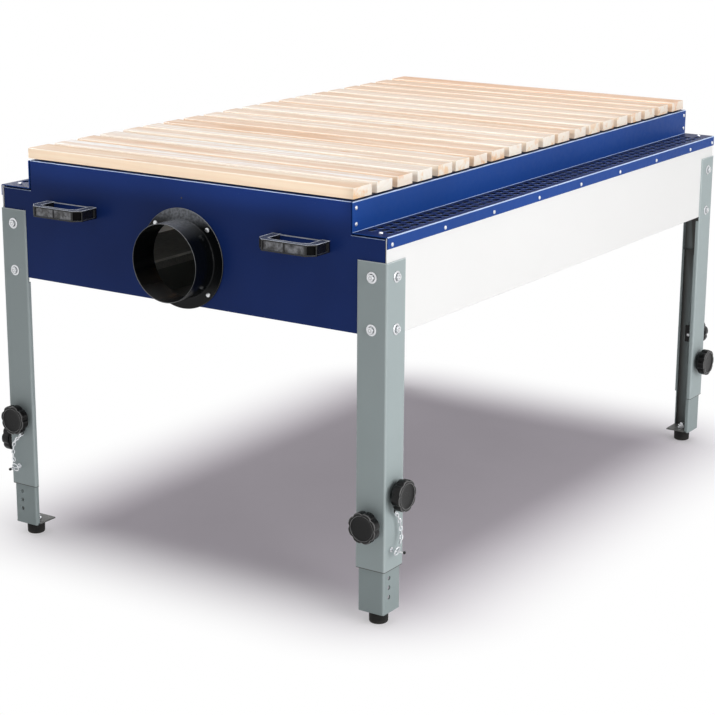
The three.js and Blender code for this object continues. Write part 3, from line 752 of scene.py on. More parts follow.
def timber(name):
    """Planed hardwood. Each slat brings its own tint and its own place in the grain as attributes."""
    f = Finish(name)
    tint = f.attribute("slat_tint", "Color")
    place = f.vector("ADD", f.place, f.attribute("grain_place", "Vector"))
    lines, bands, pores = wood_grain(f, place)
    up = f.ramp(f.facing("Z"), 0.5, 0.95)
    end = f.ramp(f.math("ABSOLUTE", f.facing("Y")), 0.7, 0.95)
    # painted shade darkens the top and painted light brightens the ends; the sides and ends are also yellower
    # and plainer
    side_tone = f.over(f.stained(tint, factor(1.0, 0.985, 0.94)), factor(1.0, 0.97, 0.89), end, 0.55)
    plain = f.mix(up, side_tone, f.stained(tint, factor(0.77, 0.805, 0.85)))
    figure = f.math("MULTIPLY_ADD", up, 0.8, 0.15)
    rose = f.stained(plain, factor(0.90, 0.77, 0.67))
    base = f.over(plain, rose, f.ramp(bands, 0.45, 0.57, 0.0, 0.85), figure)
    brown = f.stained(plain, factor(0.84, 0.66, 0.52))
    base = f.over(base, brown, f.ramp(lines, 0.44, 0.66, 0.0, 0.65), figure)
    base = f.over(base, f.stained(plain, factor(0.7, 0.52, 0.38)), pores, 0.25, figure)
    heart = f.ramp(f.noise(34, 4, 0.6, place), 0.5, 0.66, 0.0, 0.85)
    base = f.over(base, f.stained(tint, factor(0.92, 0.66, 0.38)), end, heart)
    base = f.over(base, f.stained(tint, factor(0.56, 0.33, 0.16)), wood_knot(f, place), 0.75)
    # painted highlight on the slats' rounded upper edges
    base = f.over(base, rgb(255, 250, 243), f.edge_light(), 0.6)
    base = f.over(base, rgb(176, 150, 120), f.patches(GRIME), 0.06)
    height = f.math("ADD", f.times(lines, 0.6), f.times(pores, -0.6))
    shine = f.math("MULTIPLY_ADD", lines, 0.12, 0.52)
    return f.done(base, shine, f.bump(height, 0.25, 0.0006), specular=0.3)


def rubber_finish(name):
    """Matt rubber with a little dust near the floor."""
    f = Finish(name)
    base = f.mix(f.patches(RUBBER_CLOUDS), rgb(22, 22, 22), rgb(38, 37, 36))
    near_floor = f.ramp(f.part(f.place, "Z"), 0.012, 0.0)
    base = f.over(base, rgb(96, 92, 88), near_floor, f.patches(RUBBER_DUST, 0.05, 0.3))
    return f.done(base, 0.72, f.bump(f.noise(900, 3), 0.2, 0.0004), specular=0.25)


# painted highlight on the folds and edges of the blue coats
FOLD_HIGHLIGHT_BLUE = rgb(205, 224, 255)
# on the blue coat what looks up is painted darker as shade, and the slots' walls dark as shade
BLUE = enamel("blue_powder_coat", rgb(24, 69, 146), FOLD_HIGHLIGHT_BLUE, rough=0.4, specular=0.12, edge_highlight_share=1.0,
              dust=0.02, painted_top_share=0.9, painted_top_colour=rgb(10, 22, 66), painted_shade_colour=rgb(6, 8, 14),
              edge_facing=(0.1, 0.35))
# a darker copy of the blue coat for the end panels, as painted shade
END_BLUE_SHADED = enamel("blue_powder_coat_ends_shaded", rgb(24, 48, 108), FOLD_HIGHLIGHT_BLUE, rough=0.4, specular=0.02,
                  edge_highlight_share=1.0, vary=0.13, edge_facing=(0.3, 0.6), coat=0.17)
# what looks up is painted darker as shade, and the ribs' upper band paler as a painted highlight
PAN_BLACK = enamel("pan_coat", rgb(80, 84, 82), rgb(120, 122, 120), rough=0.5, specular=0.2, vary=0.25,
                   painted_top_share=1.0, painted_top_colour=rgb(36, 39, 38),
                   sheen=(RIB_TOP - RIB_BAND - 1, RIB_TOP - RIB_BAND, RIB_TOP + 1, rgb(122, 124, 122)))
WHITE = enamel("white_powder_coat", rgb(244, 244, 243), rgb(252, 252, 253), rough=0.45, specular=0.2,
               edge_highlight_share=0.4, dust=0.05, peel=0.04, vary=0.008)
# the legs' inner sides, lower cut edges and foot plates are painted dark as shade
LEG_PAINT = dict(rough=0.42, specular=0.25, edge_highlight_share=0.35, peel=0.06, painted_shade_colour=rgb(96, 95, 93))
LEG_GREY = enamel("leg_paint", rgb(166, 178, 179), rgb(204, 213, 214), vary=0.03, **LEG_PAINT)
INNER_GREY = enamel("inner_leg_paint", rgb(149, 161, 162), rgb(186, 196, 197), vary=0.04, **LEG_PAINT)
# the top is painted paler as a highlight, and the flange's upper band as a painted reflection
DUCT_BLACK = enamel("duct_paint", rgb(7, 9, 11), rgb(226, 230, 232), rough=0.14, specular=0.15,
                    edge_highlight_share=0.6, dust=0.03, peel=0.3, vary=0.2, painted_top_share=0.2,
                    painted_top_colour=rgb(110, 114, 120), edge_facing=(-0.5, 0.7),
                    sheen=(TUBE_HEIGHT + SHEEN_START, TUBE_HEIGHT + SHEEN_FULL, BOX_TOP, rgb(152, 156, 163)))
# the top is painted paler as a painted reflection
HANDLE_BLACK = moulded("handle_black", rgb(24, 24, 25), rough=0.24, specular=0.42, grain=0.08,
                       painted_top_colour=rgb(100, 106, 122))
# a near-white rim round the handles' top, as a painted highlight
HANDLE_HIGHLIGHT = moulded("handle_highlight_rim", rgb(206, 212, 224), rough=0.25, specular=0.5, grain=0.05)
HANDLE_PANEL = moulded("handle_panel", rgb(150, 152, 158), rough=0.2, specular=0.6, grain=0.25, scuff=0.5,
                       low_share=0.06, cloud=75)
# black plugs in the handles' corner pockets, as painted shade
POCKET_SHADE = moulded("pocket_shade_black", rgb(9, 9, 10), rough=0.8, specular=0.1)
PLASTIC = moulded("moulded_black", rgb(24, 23, 23), rough=0.4, specular=0.35)
# the knobs' rims carry painted highlights
KNOB_BLACK = moulded("knob_black", rgb(20, 20, 21), rough=0.3, specular=0.22, grain=0.1,
                     edge_highlight_colour=rgb(176, 176, 176), edge_highlight_share=0.65)
RUBBER = rubber_finish("rubber_black")
ZINC = plated("bright_zinc", rgb(232, 234, 237), rough=0.2)
DULL_STEEL = plated("dull_steel", rgb(84, 84, 86), rough=0.45)
WOOD = timber("planed_hardwood")


# Suction box

def both_long_sides(shape):
    return (("front", shape.moved(TO_FRAME)), ("rear", shape.moved(TO_FRAME @ HALF_TURN)))


def slot_places():
    """Middles of the ledge's slots on the front side, in three staggered rows."""
    for row in range(SLOT_ROWS):
        y = SLOT_ROW_INSET + row * SLOT_ROW_SPACING - RIM_FACE
        x = SLOT_START - END_FACE + (row % 2) * SLOT_PITCH / 2
        while x <= END_FACE - SLOT_START:
            yield x, y
            x += SLOT_PITCH


def slot_dish():
    """The dish that the punch leaves round a slot, with a painted highlight on the rim of its outer corner
    and painted shade inside.
    """
    # the dish's walls are painted dark as shade, and its near corner's rim bright as a highlight
    rows = (  # growth of the slot's outline, height, shade and shine
        (DISH_RIM, 0.02, 0.0, 0.0),
        (0.5 * DISH_RIM, RIM_HEIGHT, 0.0, 1.0),
        (-0.2, 0.6 * RIM_HEIGHT, -0.6, 0.9),
        (-0.8, -0.8, -1.0, 0.0),
        (-DISH_TAPER, -DISH_DEPTH, -1.0, 0.0),
        (0.3 - DISH_TAPER, -DISH_DEPTH - 0.6, -1.0, 0.0),
        (DISH_RIM, -SHEET - 0.05, -1.0, 0.0),
    )
    shape = Shape()
    loops = []
    for grow, height, shade_there, shine in rows:
        outline = rounded_rectangle(SLOT_LENGTH + grow, SLOT_WIDTH + grow, SLOT_CORNER + grow / 2)
        corner = [max(0.0, -(x / SLOT_LENGTH + y / SLOT_WIDTH)) for x, y in outline]
        light = [shade_there + shine * share ** 2 for share in corner]
        loops.append(shape.loop([(x, y, height) for x, y in outline], light))
    return shape.skin(loops + loops[:1], lids=False)


def ledge_panels():
    """Each is one folded sheet: the rim, the ledge with its slots, the upper wall and the top return."""
    half = SHEET / 2
    wall = UPPER_FACE - half
    path = [(-RIM_FACE + half, RIM_BOTTOM), (-RIM_FACE + half, LEDGE_TOP - half), (-wall, LEDGE_TOP - half),
            (-wall, BOX_TOP - half), (TOP_RETURN - UPPER_FACE, BOX_TOP - half)]
    whole = prism(sheet_section(path, SHEET, BEND_INSIDE), -END_FACE, END_FACE, along_x)
    cutters = Shape()
    hole = prism(rounded_rectangle(SLOT_LENGTH, SLOT_WIDTH, SLOT_CORNER), -2 * SHEET, SHEET)
    places = [shifted(x, y, LEDGE_TOP) for x, y in slot_places()]
    for place in places:
        cutters.add(hole, place)
    inner = (SHEET + 2 * BEND_INSIDE - UPPER_FACE, TOP_RETURN - UPPER_FACE + SHEET)
    fold_end = END_FACE - END_FLANGE - FIT_GAP
    for end in ((-END_FACE - SHEET, -fold_end), (fold_end, END_FACE + SHEET)):
        cutters.add(block(end, inner, (BOX_TOP - 2 * SHEET, BOX_TOP + SHEET)))
    panel = carved(whole, cutters)
    dish = slot_dish()
    for place in places:
        panel.add(dish, place)
    for name, shape in both_long_sides(panel):
        piece(shape, name + "_ledge_sheet", BLUE, stands_for=name + "_ledge_panel")


def side_panels():
    half = SHEET / 2
    wall = -SIDE_FACE + half
    fold_end = END_FACE - SIDE_FOLD_DEPTH - FIT_GAP
    path = [(SIDE_BOTTOM_FOLD - SIDE_FACE + SHEET, BODY_BOTTOM + half), (wall, BODY_BOTTOM + half),
            (wall, SIDE_TOP - half), (SIDE_TOP_FOLD - SIDE_FACE + SHEET, SIDE_TOP - half)]
    panel = prism(sheet_section(path, SHEET, BEND_INSIDE), -fold_end, fold_end, along_x)
    flat = sheet_section([(wall, BODY_BOTTOM), (wall, SIDE_TOP)], SHEET, BEND_INSIDE)
    for end in ((-END_FACE, -fold_end), (fold_end, END_FACE)):
        panel.add(prism(flat, *end, along_x))
    for name, shape in both_long_sides(panel):
        piece(shape, name + "_side_sheet", WHITE, stands_for=name + "_side_panel")


def end_outline(inset):
    lower = SIDE_FACE - SHEET - SEAM - inset
    upper = UPPER_FACE - SHEET - SEAM - inset
    return [(-lower, BODY_BOTTOM + inset), (lower, BODY_BOTTOM + inset), (lower, SHOULDER - inset),
            (upper, SHOULDER - inset), (upper, BOX_TOP - inset), (-upper, BOX_TOP - inset),
            (-upper, SHOULDER - inset), (-lower, SHOULDER - inset)]


def end_panel():
    """A folded T-shaped tray that faces -X, drawn with its face at zero depth."""
    outer = BEND_INSIDE + SHEET
    back = END_FLANGE - RAW_EDGE
    outside = arc(outer, outer, outer, 3 * QUARTER, -QUARTER, BEND_STEPS)
    inside = arc(outer, outer, BEND_INSIDE, HALF, QUARTER, BEND_STEPS)
    # inset of the outline, depth and light
    rows = [(*point, fold_light(i / BEND_STEPS)) for i, point in enumerate(outside)]
    rows += [(0, back, 0.0), (RAW_EDGE, END_FLANGE, 1.0)]
    rows += [(SHEET - RAW_EDGE, END_FLANGE, 1.0), (SHEET, back, 0.0)]
    rows += [(*point, 0.0) for point in inside]
    shape = Shape()
    return shape.skin([
        shape.loop([(depth - END_FACE, y, z) for y, z in end_outline(inset)], light)
        for inset, depth, light in rows
    ])


def end_side_folds():
    shape = Shape()
    edge = SIDE_FACE - SHEET - SEAM
    depth = (END_FLANGE - END_FACE - 1, SIDE_FOLD_DEPTH - END_FACE)
    for across in ((-edge, SHEET - edge), (edge - SHEET, edge)):
        shape.add(block(depth, across, (BODY_BOTTOM, SHOULDER)))
    return shape


# Places of the flange's four screws across and up the end panel
FLANGE_SCREWS = arc(0, TUBE_HEIGHT, SCREW_CIRCLE, QUARTER / 2, 3 * QUARTER, 3)


def end_panels():
    plain = end_panel()
    cutters = bar(TUBE_RADIUS + SEAM, -END_FLANGE, END_FLANGE, 96).moved(on_duct_end(0, TUBE_HEIGHT))
    for y, z in FLANGE_SCREWS:
        cutters.add(bar(SCREW_HOLE, -END_FLANGE, END_FLANGE, 24), on_duct_end(y, z))
    holed = carved(plain, cutters)
    for name, shape, place in (("duct_end", holed, TO_FRAME), ("far_end", plain, TO_FRAME @ HALF_TURN)):
        whole = shape.add(end_side_folds()).moved(place)
        piece(whole, name + "_sheet", END_BLUE_SHADED, stands_for=name + "_panel")


def rivet(radius=RIVET_RADIUS, height=RIVET_HEIGHT):
    """A dome-headed blind rivet with the small dimple of its pulled stem."""
    return lathe([
        (0, -HEAD_SINK), (radius, -HEAD_SINK), (radius, 0.35), (0.94 * radius, 0.62 * height),
        (0.78 * radius, 0.86 * height), (0.5 * radius, height), (0.32 * radius, height),
        (0.26 * radius, 0.8 * height), (0, 0.78 * height),
    ], 28)


def cross_screw(radius, height):
    """A pan-head screw with a cross recess."""
    head = lathe([
        (0, -HEAD_SINK), (radius, -HEAD_SINK), (radius, 0.3 * height), (0.95 * radius, 0.62 * height),
        (0.75 * radius, 0.9 * height), (0.45 * radius, height), (0, height),
    ], 32)
    arm, wide = 0.55 * radius, 0.14 * radius
    cross = block((-arm, arm), (-wide, wide), (0.45 * height, 2 * height))
    # the second arm differs a little, so that no two of their faces coincide
    cross.add(block((-wide, wide), (-arm * 0.999, arm * 0.999), (0.44 * height, 2.1 * height)))
    return carved(head, cross)


def rivet_places():
    """Along the front rim and at both ends of the wall above it."""
    last = END_FACE - WALL_RIVET_INSET
    count = int((2 * END_FACE - RIM_RIVET_START) // RIM_RIVET_PITCH) + 1
    along = [RIM_RIVET_START - END_FACE + i * RIM_RIVET_PITCH for i in range(count)] + [last]
    places = [(x, -RIM_FACE, LEDGE_TOP - RIM_RIVET_DROP) for x in along]
    return places + [(x, -UPPER_FACE, BOX_TOP - drop) for x in (-last, last) for drop in WALL_RIVET_DROPS]


def box_fasteners():
    rim = Shape()
    for place in rivet_places():
        rim.add(rivet(), shifted(*place) @ OUT_OF_FRONT)
    screw = cross_screw(*LEDGE_SCREW)
    for end in (-1, 1):
        rim.add(screw, shifted(end * (END_FACE - LEDGE_SCREW_INSET), LEDGE_SCREW_Y - RIM_FACE, LEDGE_TOP))
    for name, shape in both_long_sides(rim):
        piece(shape, name + "_rivets", ZINC)
    lone = on_duct_end(0, TUBE_HEIGHT + FLANGE_RADIUS + END_SCREW_RISE)
    piece(cross_screw(*END_SCREW).moved(TO_FRAME @ lone), "duct_end_screw", DULL_STEEL)


def spigot_tube():
    inner, outer = TUBE_RADIUS - TUBE_WALL, TUBE_RADIUS
    front = FIT_GAP + FLANGE_THICKNESS
    rim = FLANGE_RADIUS - FLANGE_EASE
    fillet = arc(outer + FLANGE_FILLET, front + FLANGE_FILLET, FLANGE_FILLET, 3 * QUARTER, -QUARTER, 4)
    # the lights paint highlights on the flange's rim and the tube's mouth
    return lathe([
        (inner, -TUBE_INSIDE), (outer, -TUBE_INSIDE), (outer, FIT_GAP), (rim, FIT_GAP),
        (FLANGE_RADIUS, FIT_GAP + FLANGE_EASE), (FLANGE_RADIUS, front - FLANGE_EASE, 0.3), (rim, front, 0.9),
        (FLANGE_RADIUS - 1.8 * FLANGE_EASE, front), *fillet,
        (outer, TUBE_REACH - 1.6), (outer, TUBE_REACH - 0.5), (outer - 0.4, TUBE_REACH, 1.0),
        (inner + 0.4, TUBE_REACH, 1.0), (inner, TUBE_REACH - 0.4, 0.2), (inner, TUBE_REACH - 1.6),
        (inner, -TUBE_INSIDE),
    ], TUBE_STEPS)


def spigot():
    tube = spigot_tube().moved(TO_FRAME @ on_duct_end(0, TUBE_HEIGHT))
    piece(tube, "spigot_tube", DUCT_BLACK, stands_for="duct_spigot")
    screws = Shape()
    screw = cross_screw(*FLANGE_SCREW).add(bar(SCREW_SHANK, -8, 1, 20))
    for y, z in FLANGE_SCREWS:
        screws.add(screw, TO_FRAME @ on_duct_end(y, z, FIT_GAP + FLANGE_THICKNESS))
    piece(screws, "spigot_screws", ZINC)
    dots = Shape()
    for rise in TUBE_RIVET_RISES:
        lean = math.asin(rise / TUBE_RADIUS)
        middle = shifted(-END_FACE - FIT_GAP - FLANGE_THICKNESS - TUBE_RIVET_OUT, 0, TUBE_HEIGHT)
        outward = Matrix.Rotation(QUARTER - lean, 4, "X") @ shifted(0, 0, TUBE_RADIUS)
        dots.add(rivet(*TUBE_RIVET), TO_FRAME @ middle @ outward)
    piece(dots, "spigot_rivets", DUCT_BLACK)


# Carry handles, drawn from above: X runs out of the end panel and Y along it

def bridge_line(half, corner, front):
    """One side of the bridge: out of the panel, across the slanted corners and back."""
    return [(HANDLE_BACK, -half), (corner, -half), (front, HANDLE_CHAMFER - half),
            (front, half - HANDLE_CHAMFER), (corner, half), (HANDLE_BACK, half)]


def handle_outline():
    inner = bridge_line(HANDLE_GAP, HANDLE_CORNER - 3, HANDLE_FRONT - HANDLE_GRIP)
    return bridge_line(HANDLE_HALF, HANDLE_CORNER, HANDLE_FRONT) + inner[::-1]


def slanted_corner(side):
    middle = HANDLE_CHAMFER / 2
    return shifted(HANDLE_FRONT - middle, side * (HANDLE_HALF - middle), 0) @ spin(45 * side)


def handle_moulding():
    """A bar between two feet, with pockets in its front, corners and ends."""
    z = (RECESS_BOTTOM, RECESS_TOP)
    cutters = block((HANDLE_FRONT - HANDLE_RECESS, HANDLE_FRONT + 1), (-RECESS_REACH, RECESS_REACH), z)
    pocket = block((-9, 1), (-HANDLE_SLANT, HANDLE_SLANT), z)
    for side in (-1, 1):
        cutters.add(pocket, slanted_corner(side))
        edge = sorted((side * (HANDLE_HALF + 1), side * (HANDLE_HALF - HANDLE_RECESS)))
        cutters.add(block((HANDLE_BACK + HANDLE_WALL + 4, HANDLE_CORNER - 1.5 * HANDLE_WALL), edge, z))
    handle = carved(prism(handle_outline(), 0, HANDLE_HEIGHT), cutters)
    web = block((HANDLE_FRONT - HANDLE_RECESS - 0.5, HANDLE_FRONT - 0.6), (-HANDLE_WALL / 2, HANDLE_WALL / 2),
                (RECESS_BOTTOM - 0.5, RECESS_TOP + 0.5))
    return handle.add(web)


def handle_highlight_rim():
    """A painted highlight: the bright line round the top, and the lip at the panel."""
    line = [(u - 0.9 * (u > HANDLE_BACK), 0.988 * v, HANDLE_HEIGHT - 0.15) for u, v in handle_outline()]
    lip = block((HANDLE_BACK, HANDLE_BACK + 1.6), (1 - HANDLE_GAP, HANDLE_GAP - 1),
                (HANDLE_HEIGHT - 2.2, HANDLE_HEIGHT - 0.4))
    return wire_loop(line, 0.75, 8).add(lip)


def handle_panel():
    back = HANDLE_FRONT - HANDLE_RECESS
    return block((back - 0.2, back + 0.4), (0.3 - RECESS_REACH, RECESS_REACH - 0.3),
                 (RECESS_BOTTOM + 0.3, RECESS_TOP - 0.3))


def handle_pocket_shades():
    """Black plugs that paint shade at the backs of the corner pockets."""
    reach = HANDLE_SLANT - 0.1
    plug = block((-8.5, -4), (-reach, reach), (RECESS_BOTTOM + 0.1, RECESS_TOP - 0.1))
    return plug.moved(slanted_corner(-1)).add(plug, slanted_corner(1))


def carry_handles():
    for name in ("front_carry_handle", "rear_carry_handle"):
        place = shifted(END_X0, (low(name).y + high(name).y) / 2, low(name).z) @ HALF_TURN
        moulding = handle_moulding().moved(place)
        soften(piece(moulding, name + "_moulding", HANDLE_BLACK, stands_for=name), HANDLE_ROUND, 3)
        # the rim's near-white line is a painted highlight
        piece(handle_highlight_rim().moved(place), name + "_rim", HANDLE_HIGHLIGHT)
        piece(handle_panel().moved(place), name + "_panel", HANDLE_PANEL)
        # black plugs as painted shade in the pockets
        piece(handle_pocket_shades().moved(place), name + "_pockets", POCKET_SHADE)


# Slatted top

def mark_points(mesh, name, kind, field, value):
    """The same value on every point of a mesh, for its finish to read."""
    mesh.attributes.new(name, kind, "POINT").data.foreach_set(field, list(value) * len(mesh.vertices))


# Slats whose tint stands out, and the two tints between which the others lie
SLAT_TINTS = {
    "slat_01": rgb(252, 231, 208), "slat_02": rgb(255, 246, 238), "slat_04": rgb(255, 249, 242),
    "slat_20": rgb(250, 216, 188),
}
WARM_TINT, PALE_TINT = Vector(rgb(244, 215, 189)[:3]), Vector(rgb(254, 242, 229)[:3])

# Knots: share of the slat's length from the spigot's right-hand side, and of its width
KNOTS = {
    "slat_01": (0.67, 0.1), "slat_05": (0.3, 0.6), "slat_10": (0.42, 0.4), "slat_14": (0.75, 0.5),
    "slat_20": (0.03, 0.5),
}


def slats():
    rng = random.Random(11)
    for name in sorted(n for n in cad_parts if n.startswith("slat_")):
        a, b = low(name), high(name)
        knot = Vector((0, 0, -1))
        if name in KNOTS:
            along, across = KNOTS[name]
            knot = Vector((a.x + (b.x - a.x) * across, a.y + (b.y - a.y) * along, b.z)) * MM
        tint = SLAT_TINTS[name][:3] if name in SLAT_TINTS else WARM_TINT.lerp(PALE_TINT, rng.random())
        place = [rng.uniform(-GRAIN_REACH, GRAIN_REACH) for _ in range(3)]
        mesh = piece(slat(a, b), name + "_board", WOOD, "slat_grate", name).data
        mark_points(mesh, "slat_tint", "FLOAT_COLOR", "color", (*tint, 1.0))
        mark_points(mesh, "grain_place", "FLOAT_VECTOR", "vector", place)
        mark_points(mesh, "knot_place", "FLOAT_VECTOR", "vector", knot)


def slat_outline(a, b, inset):
    """Section across a slat, its upper edges rounded more than its lower ones."""
    points = []
    for quarter, (sx, sz) in enumerate(CORNERS):
        x, z = b.x if sx > 0 else a.x, b.z if sz > 0 else a.z
        radius = max(SLAT_ROUND if sz > 0 else SLAT_LOWER_ROUND, inset + 0.1)
        steps = SLAT_CORNER_STEPS
        corner = arc(x - sx * radius, z - sz * radius, radius - inset, quarter * QUARTER, QUARTER, steps)
        for i, point in enumerate(corner):
            # the upper rounded edges carry a painted highlight
            points.append((*point, math.sin(math.pi * i / steps) if sz > 0 and i < steps else 0.0))
    return points


def slat(a, b):
    shape = Shape()
    ease = SLAT_END_ROUND
    length = b.y - a.y - 2 * ease
    stations = [(a.y, ease), (a.y + 0.3 * ease, 0.3 * ease), (a.y + ease, 0)]
    stations += [(a.y + ease + length * i / SLAT_STATIONS, 0) for i in range(1, SLAT_STATIONS)]
    stations += [(b.y - ease, 0), (b.y - 0.3 * ease, 0.3 * ease), (b.y, ease)]
    loops = []
    for y, inset in stations:
        outline = slat_outline(a, b, inset)
        loops.append(shape.loop([(x, y, z) for x, z, _ in outline], [glow for *_, glow in outline]))
    return shape.skin(loops)


# Legs. Each is drawn from its outer corner, with its first face looking along -Y and its second along -X.

ON_FIRST = Matrix(((1, 0, 0, 0), (0, 0, -1, 0), (0, 1, 0, 0), (0, 0, 0, 1)))
ON_SECOND = Matrix(((0, 0, -1, 0), (-1, 0, 0, 0), (0, 1, 0, 0), (0, 0, 0, 1)))


def on_first(along, height):
    return ON_FIRST @ shifted(along, height, 0)


def on_second(along, height):
    return ON_SECOND @ shifted(-along, height, 0)


UPPER_KNOB_AT = on_first(LEG_MIDDLE, OUTER_BOTTOM + UPPER_KNOB_RISE)
LOWER_KNOB_AT = on_second(LEG_MIDDLE, OUTER_BOTTOM + LOWER_KNOB_RISE)
PIN_AT = on_first(PIN_INSET, OUTER_BOTTOM + PIN_RISE)

# Side of the table's middle along X and Y, and turn
LEGS = {
    "duct_front": (-1, -1, 0),
    "duct_rear": (-1, 1, -90),
    "far_rear": (1, 1, 180),
    "far_front": (1, -1, 90),
}


def lipped_section(offset, edge):
    half = LEG_SHEET / 2
    path = [(edge - half, offset + LEG_LIP), (edge - half, offset + half), (offset + half, offset + half),
            (offset + half, edge - half), (offset + LEG_LIP, edge - half)]
    return sheet_section(path, LEG_SHEET, LEG_BEND_INSIDE, right_shade=-1.0)


def outer_leg():
    whole = cut_prism(lipped_section(0, LEG_WIDTH), OUTER_BOTTOM, OUTER_TOP, CUT_EDGE)
    notch = (BODY_BOTTOM - LIP_NOTCH, OUTER_TOP + 1)
    inside = (LEG_SHEET + 0.02, LEG_MIDDLE - 1)
    outside = (LEG_MIDDLE, LEG_WIDTH + 1)
    cutters = block(outside, inside, notch).add(block(inside, outside, notch))
    for place, radius in ((UPPER_KNOB_AT, STUD_HOLE), (LOWER_KNOB_AT, STUD_HOLE), (PIN_AT, PIN_HOLE)):
        cutters.add(bar(radius, -LEG_SHEET - 1, 1, 28), place)
    return carved(whole, cutters)


def inner_leg():
    """The sliding angle with its slots for the knobs' studs, its pin holes and its foot plate."""
    whole = prism(lipped_section(INNER_OFFSET, INNER_EDGE), INNER_BOTTOM, INNER_TOP)
    depth = INNER_OFFSET + LEG_SHEET + 1
    slot = prism(stadium(STUD_HOLE, LEG_TRAVEL, 12), -depth, -0.5)
    cutters = slot.moved(UPPER_KNOB_AT).add(slot, LOWER_KNOB_AT)
    hole = bar(PIN_HOLE, -depth, -0.5, 24)
    for i in range(-PIN_HOLES_BELOW, PIN_HOLES_ABOVE + 1):
        cutters.add(hole, on_first(PIN_INSET, OUTER_BOTTOM + PIN_RISE + i * PIN_PITCH))
    near, trim = INNER_OFFSET + 1, INNER_EDGE - FOOT_PLATE_CORNER
    plate = [(near, near), (trim, near), (INNER_EDGE, near + FOOT_PLATE_CORNER), (INNER_EDGE, INNER_EDGE),
             (near + FOOT_PLATE_CORNER, INNER_EDGE), (near, trim)]
    # the foot plate is painted dark as shade
    plate = prism([(x, y, -0.9) for x, y in plate], INNER_BOTTOM + 0.02, INNER_BOTTOM + FOOT_PLATE)
    return carved(whole, cutters).add(plate)


def flange_bolt(stack):
    """A bolt through the leg and a stack of sheets, with its nut behind them."""
    back = -LEG_SHEET - 2 * FIT_GAP - stack
    # negative lights paint shade at the flange's foot and under the head
    shape = lathe([
        (0, 0.02, -1), (BOLT_FLANGE, 0.02, -1), (BOLT_FLANGE, 0.9, -0.2), (BOLT_FLANGE - 0.5, 1.3),
        (BOLT_HEAD + 0.9, BOLT_FLANGE_THICKNESS), (BOLT_HEAD - 0.3, BOLT_FLANGE_THICKNESS, -1),
        (0, BOLT_FLANGE_THICKNESS, -1),
    ], 40)
    shape.add(hexagon(BOLT_HEAD, 1, BOLT_FLANGE_THICKNESS + BOLT_HEAD_HEIGHT))
    shape.add(bar(BOLT_SHANK, back - NUT_HEIGHT - BOLT_TAIL, 1, 24))
    return shape.add(hexagon(BOLT_HEAD, 0, NUT_HEIGHT, dish=False), shifted(0, 0, back) @ spin(180, "X"))


def leg_bolts(first_face):
    """On the long side the bolts go through the side panel, a seam and the end panel's fold."""
    shape = Shape()
    stacks = (2 * SHEET + SEAM, SHEET) if first_face == "side" else (SHEET, 2 * SHEET + SEAM)
    for height in BOLT_HEIGHTS:
        turned = spin(BOLT_TURN * (height - BODY_BOTTOM))
        for face, stack in zip((on_first, on_second), stacks):
            shape.add(flange_bolt(stack), face(LEG_MIDDLE, height) @ turned)
    return shape


def grooved(radius, angle, share):
    """The knob's radius at an angle, with rounded lobes and narrow grooves between them."""
    lobe = 0.5 - 0.5 * math.cos(KNOB_LOBES * angle)
    return radius - share * KNOB_LOBE_DEPTH * (0.25 * lobe + 0.75 * lobe ** 5)


def knob():
    """The head, drawn with the leg's face at zero: a skirt, grooved lobes and a dished face with a rim."""
    z0, z1 = KNOB_STAND, KNOB_STAND + KNOB_THICKNESS
    dish = z1 - KNOB_FACE_DEPTH
    full, face = KNOB_RADIUS, KNOB_FACE
    # the lights paint highlights on the lobes' and the face's rims
    return lathe([  # radius, height, light, share of the grooves
        (0, FIT_GAP), (KNOB_HUB - 1, FIT_GAP), (KNOB_HUB, FIT_GAP + 1), (KNOB_HUB, 4), (KNOB_SKIRT - 1, 5),
        (KNOB_SKIRT, 6), (full - 4.5, z0, 0, 0.4), (full - 1.5, z0 + 0.6, 0, 1), (full - 0.3, z0 + 2, 0, 1),
        (full, z0 + 4, 0, 1), (full, z1 - 4, 0, 1), (full - 0.3, z1 - 2.2, 0, 1),
        (full - 1.1, z1 - 1, 0.6, 1), (full - 2.6, z1 - 0.2, 0.1, 0.8), (full - 4.2, z1, 0, 0.5),
        (face + 1.4, z1 - 0.1, 0.05, 0.2), (face + 0.6, z1 - 0.3, 0.9, 0.1), (face, z1 - 0.9),
        (face - 0.5, dish + 0.5), (face - 1.6, dish), (16, dish - 0.3), (7, dish - 0.5), (0, dish - 0.6),
    ], 24 * KNOB_LOBES, grooved)


def clamp_plate():
    back = -INNER_OFFSET - LEG_SHEET - FIT_GAP
    return prism(rounded_rectangle(CLAMP_WIDTH, CLAMP_HEIGHT, 2), back - CLAMP_THICKNESS, back)


def lock_pin():
    """The shank with its collar, and the pull ring through its cross hole."""
    shape = bar(PIN_RADIUS, FIT_GAP - INNER_OFFSET, PIN_REACH - PIN_TIP_LENGTH + 1, 28, 0.7)
    shape.add(bar(PIN_COLLAR, FIT_GAP, FIT_GAP + PIN_COLLAR_THICKNESS, 32, 0.6))
    ring = around(40, lambda c, s: (PIN_RING * c, PIN_RING * s, PIN_RING_OUT + PIN_RING_TILT * s))
    shape.add(wire_loop(ring, PIN_RING_WIRE, 12))
    cross = PIN_RING - 0.5
    return shape.add(bar(PIN_RING_WIRE, -cross, cross, 12), shifted(0, 0, PIN_RING_OUT) @ spin(90, "Y"))


def pin_tip():
    return bar(PIN_TIP, PIN_REACH - PIN_TIP_LENGTH, PIN_REACH, 32, 1.2)


def chain_link(twist):
    """One link, drawn along Z and centred at zero."""
    line = stadium(LINK_WIDTH / 2 - LINK_WIRE, (LINK_LENGTH - LINK_WIDTH) / 2, 8)
    return wire_loop([(u, 0, v) for u, v in line], LINK_WIRE, 8).moved(spin(twist))


def chain_curve(face):
    return [Vector((along, height, out)) for (along, height), out in zip(CHAIN_RUNS[face], CHAIN_OUTS)]


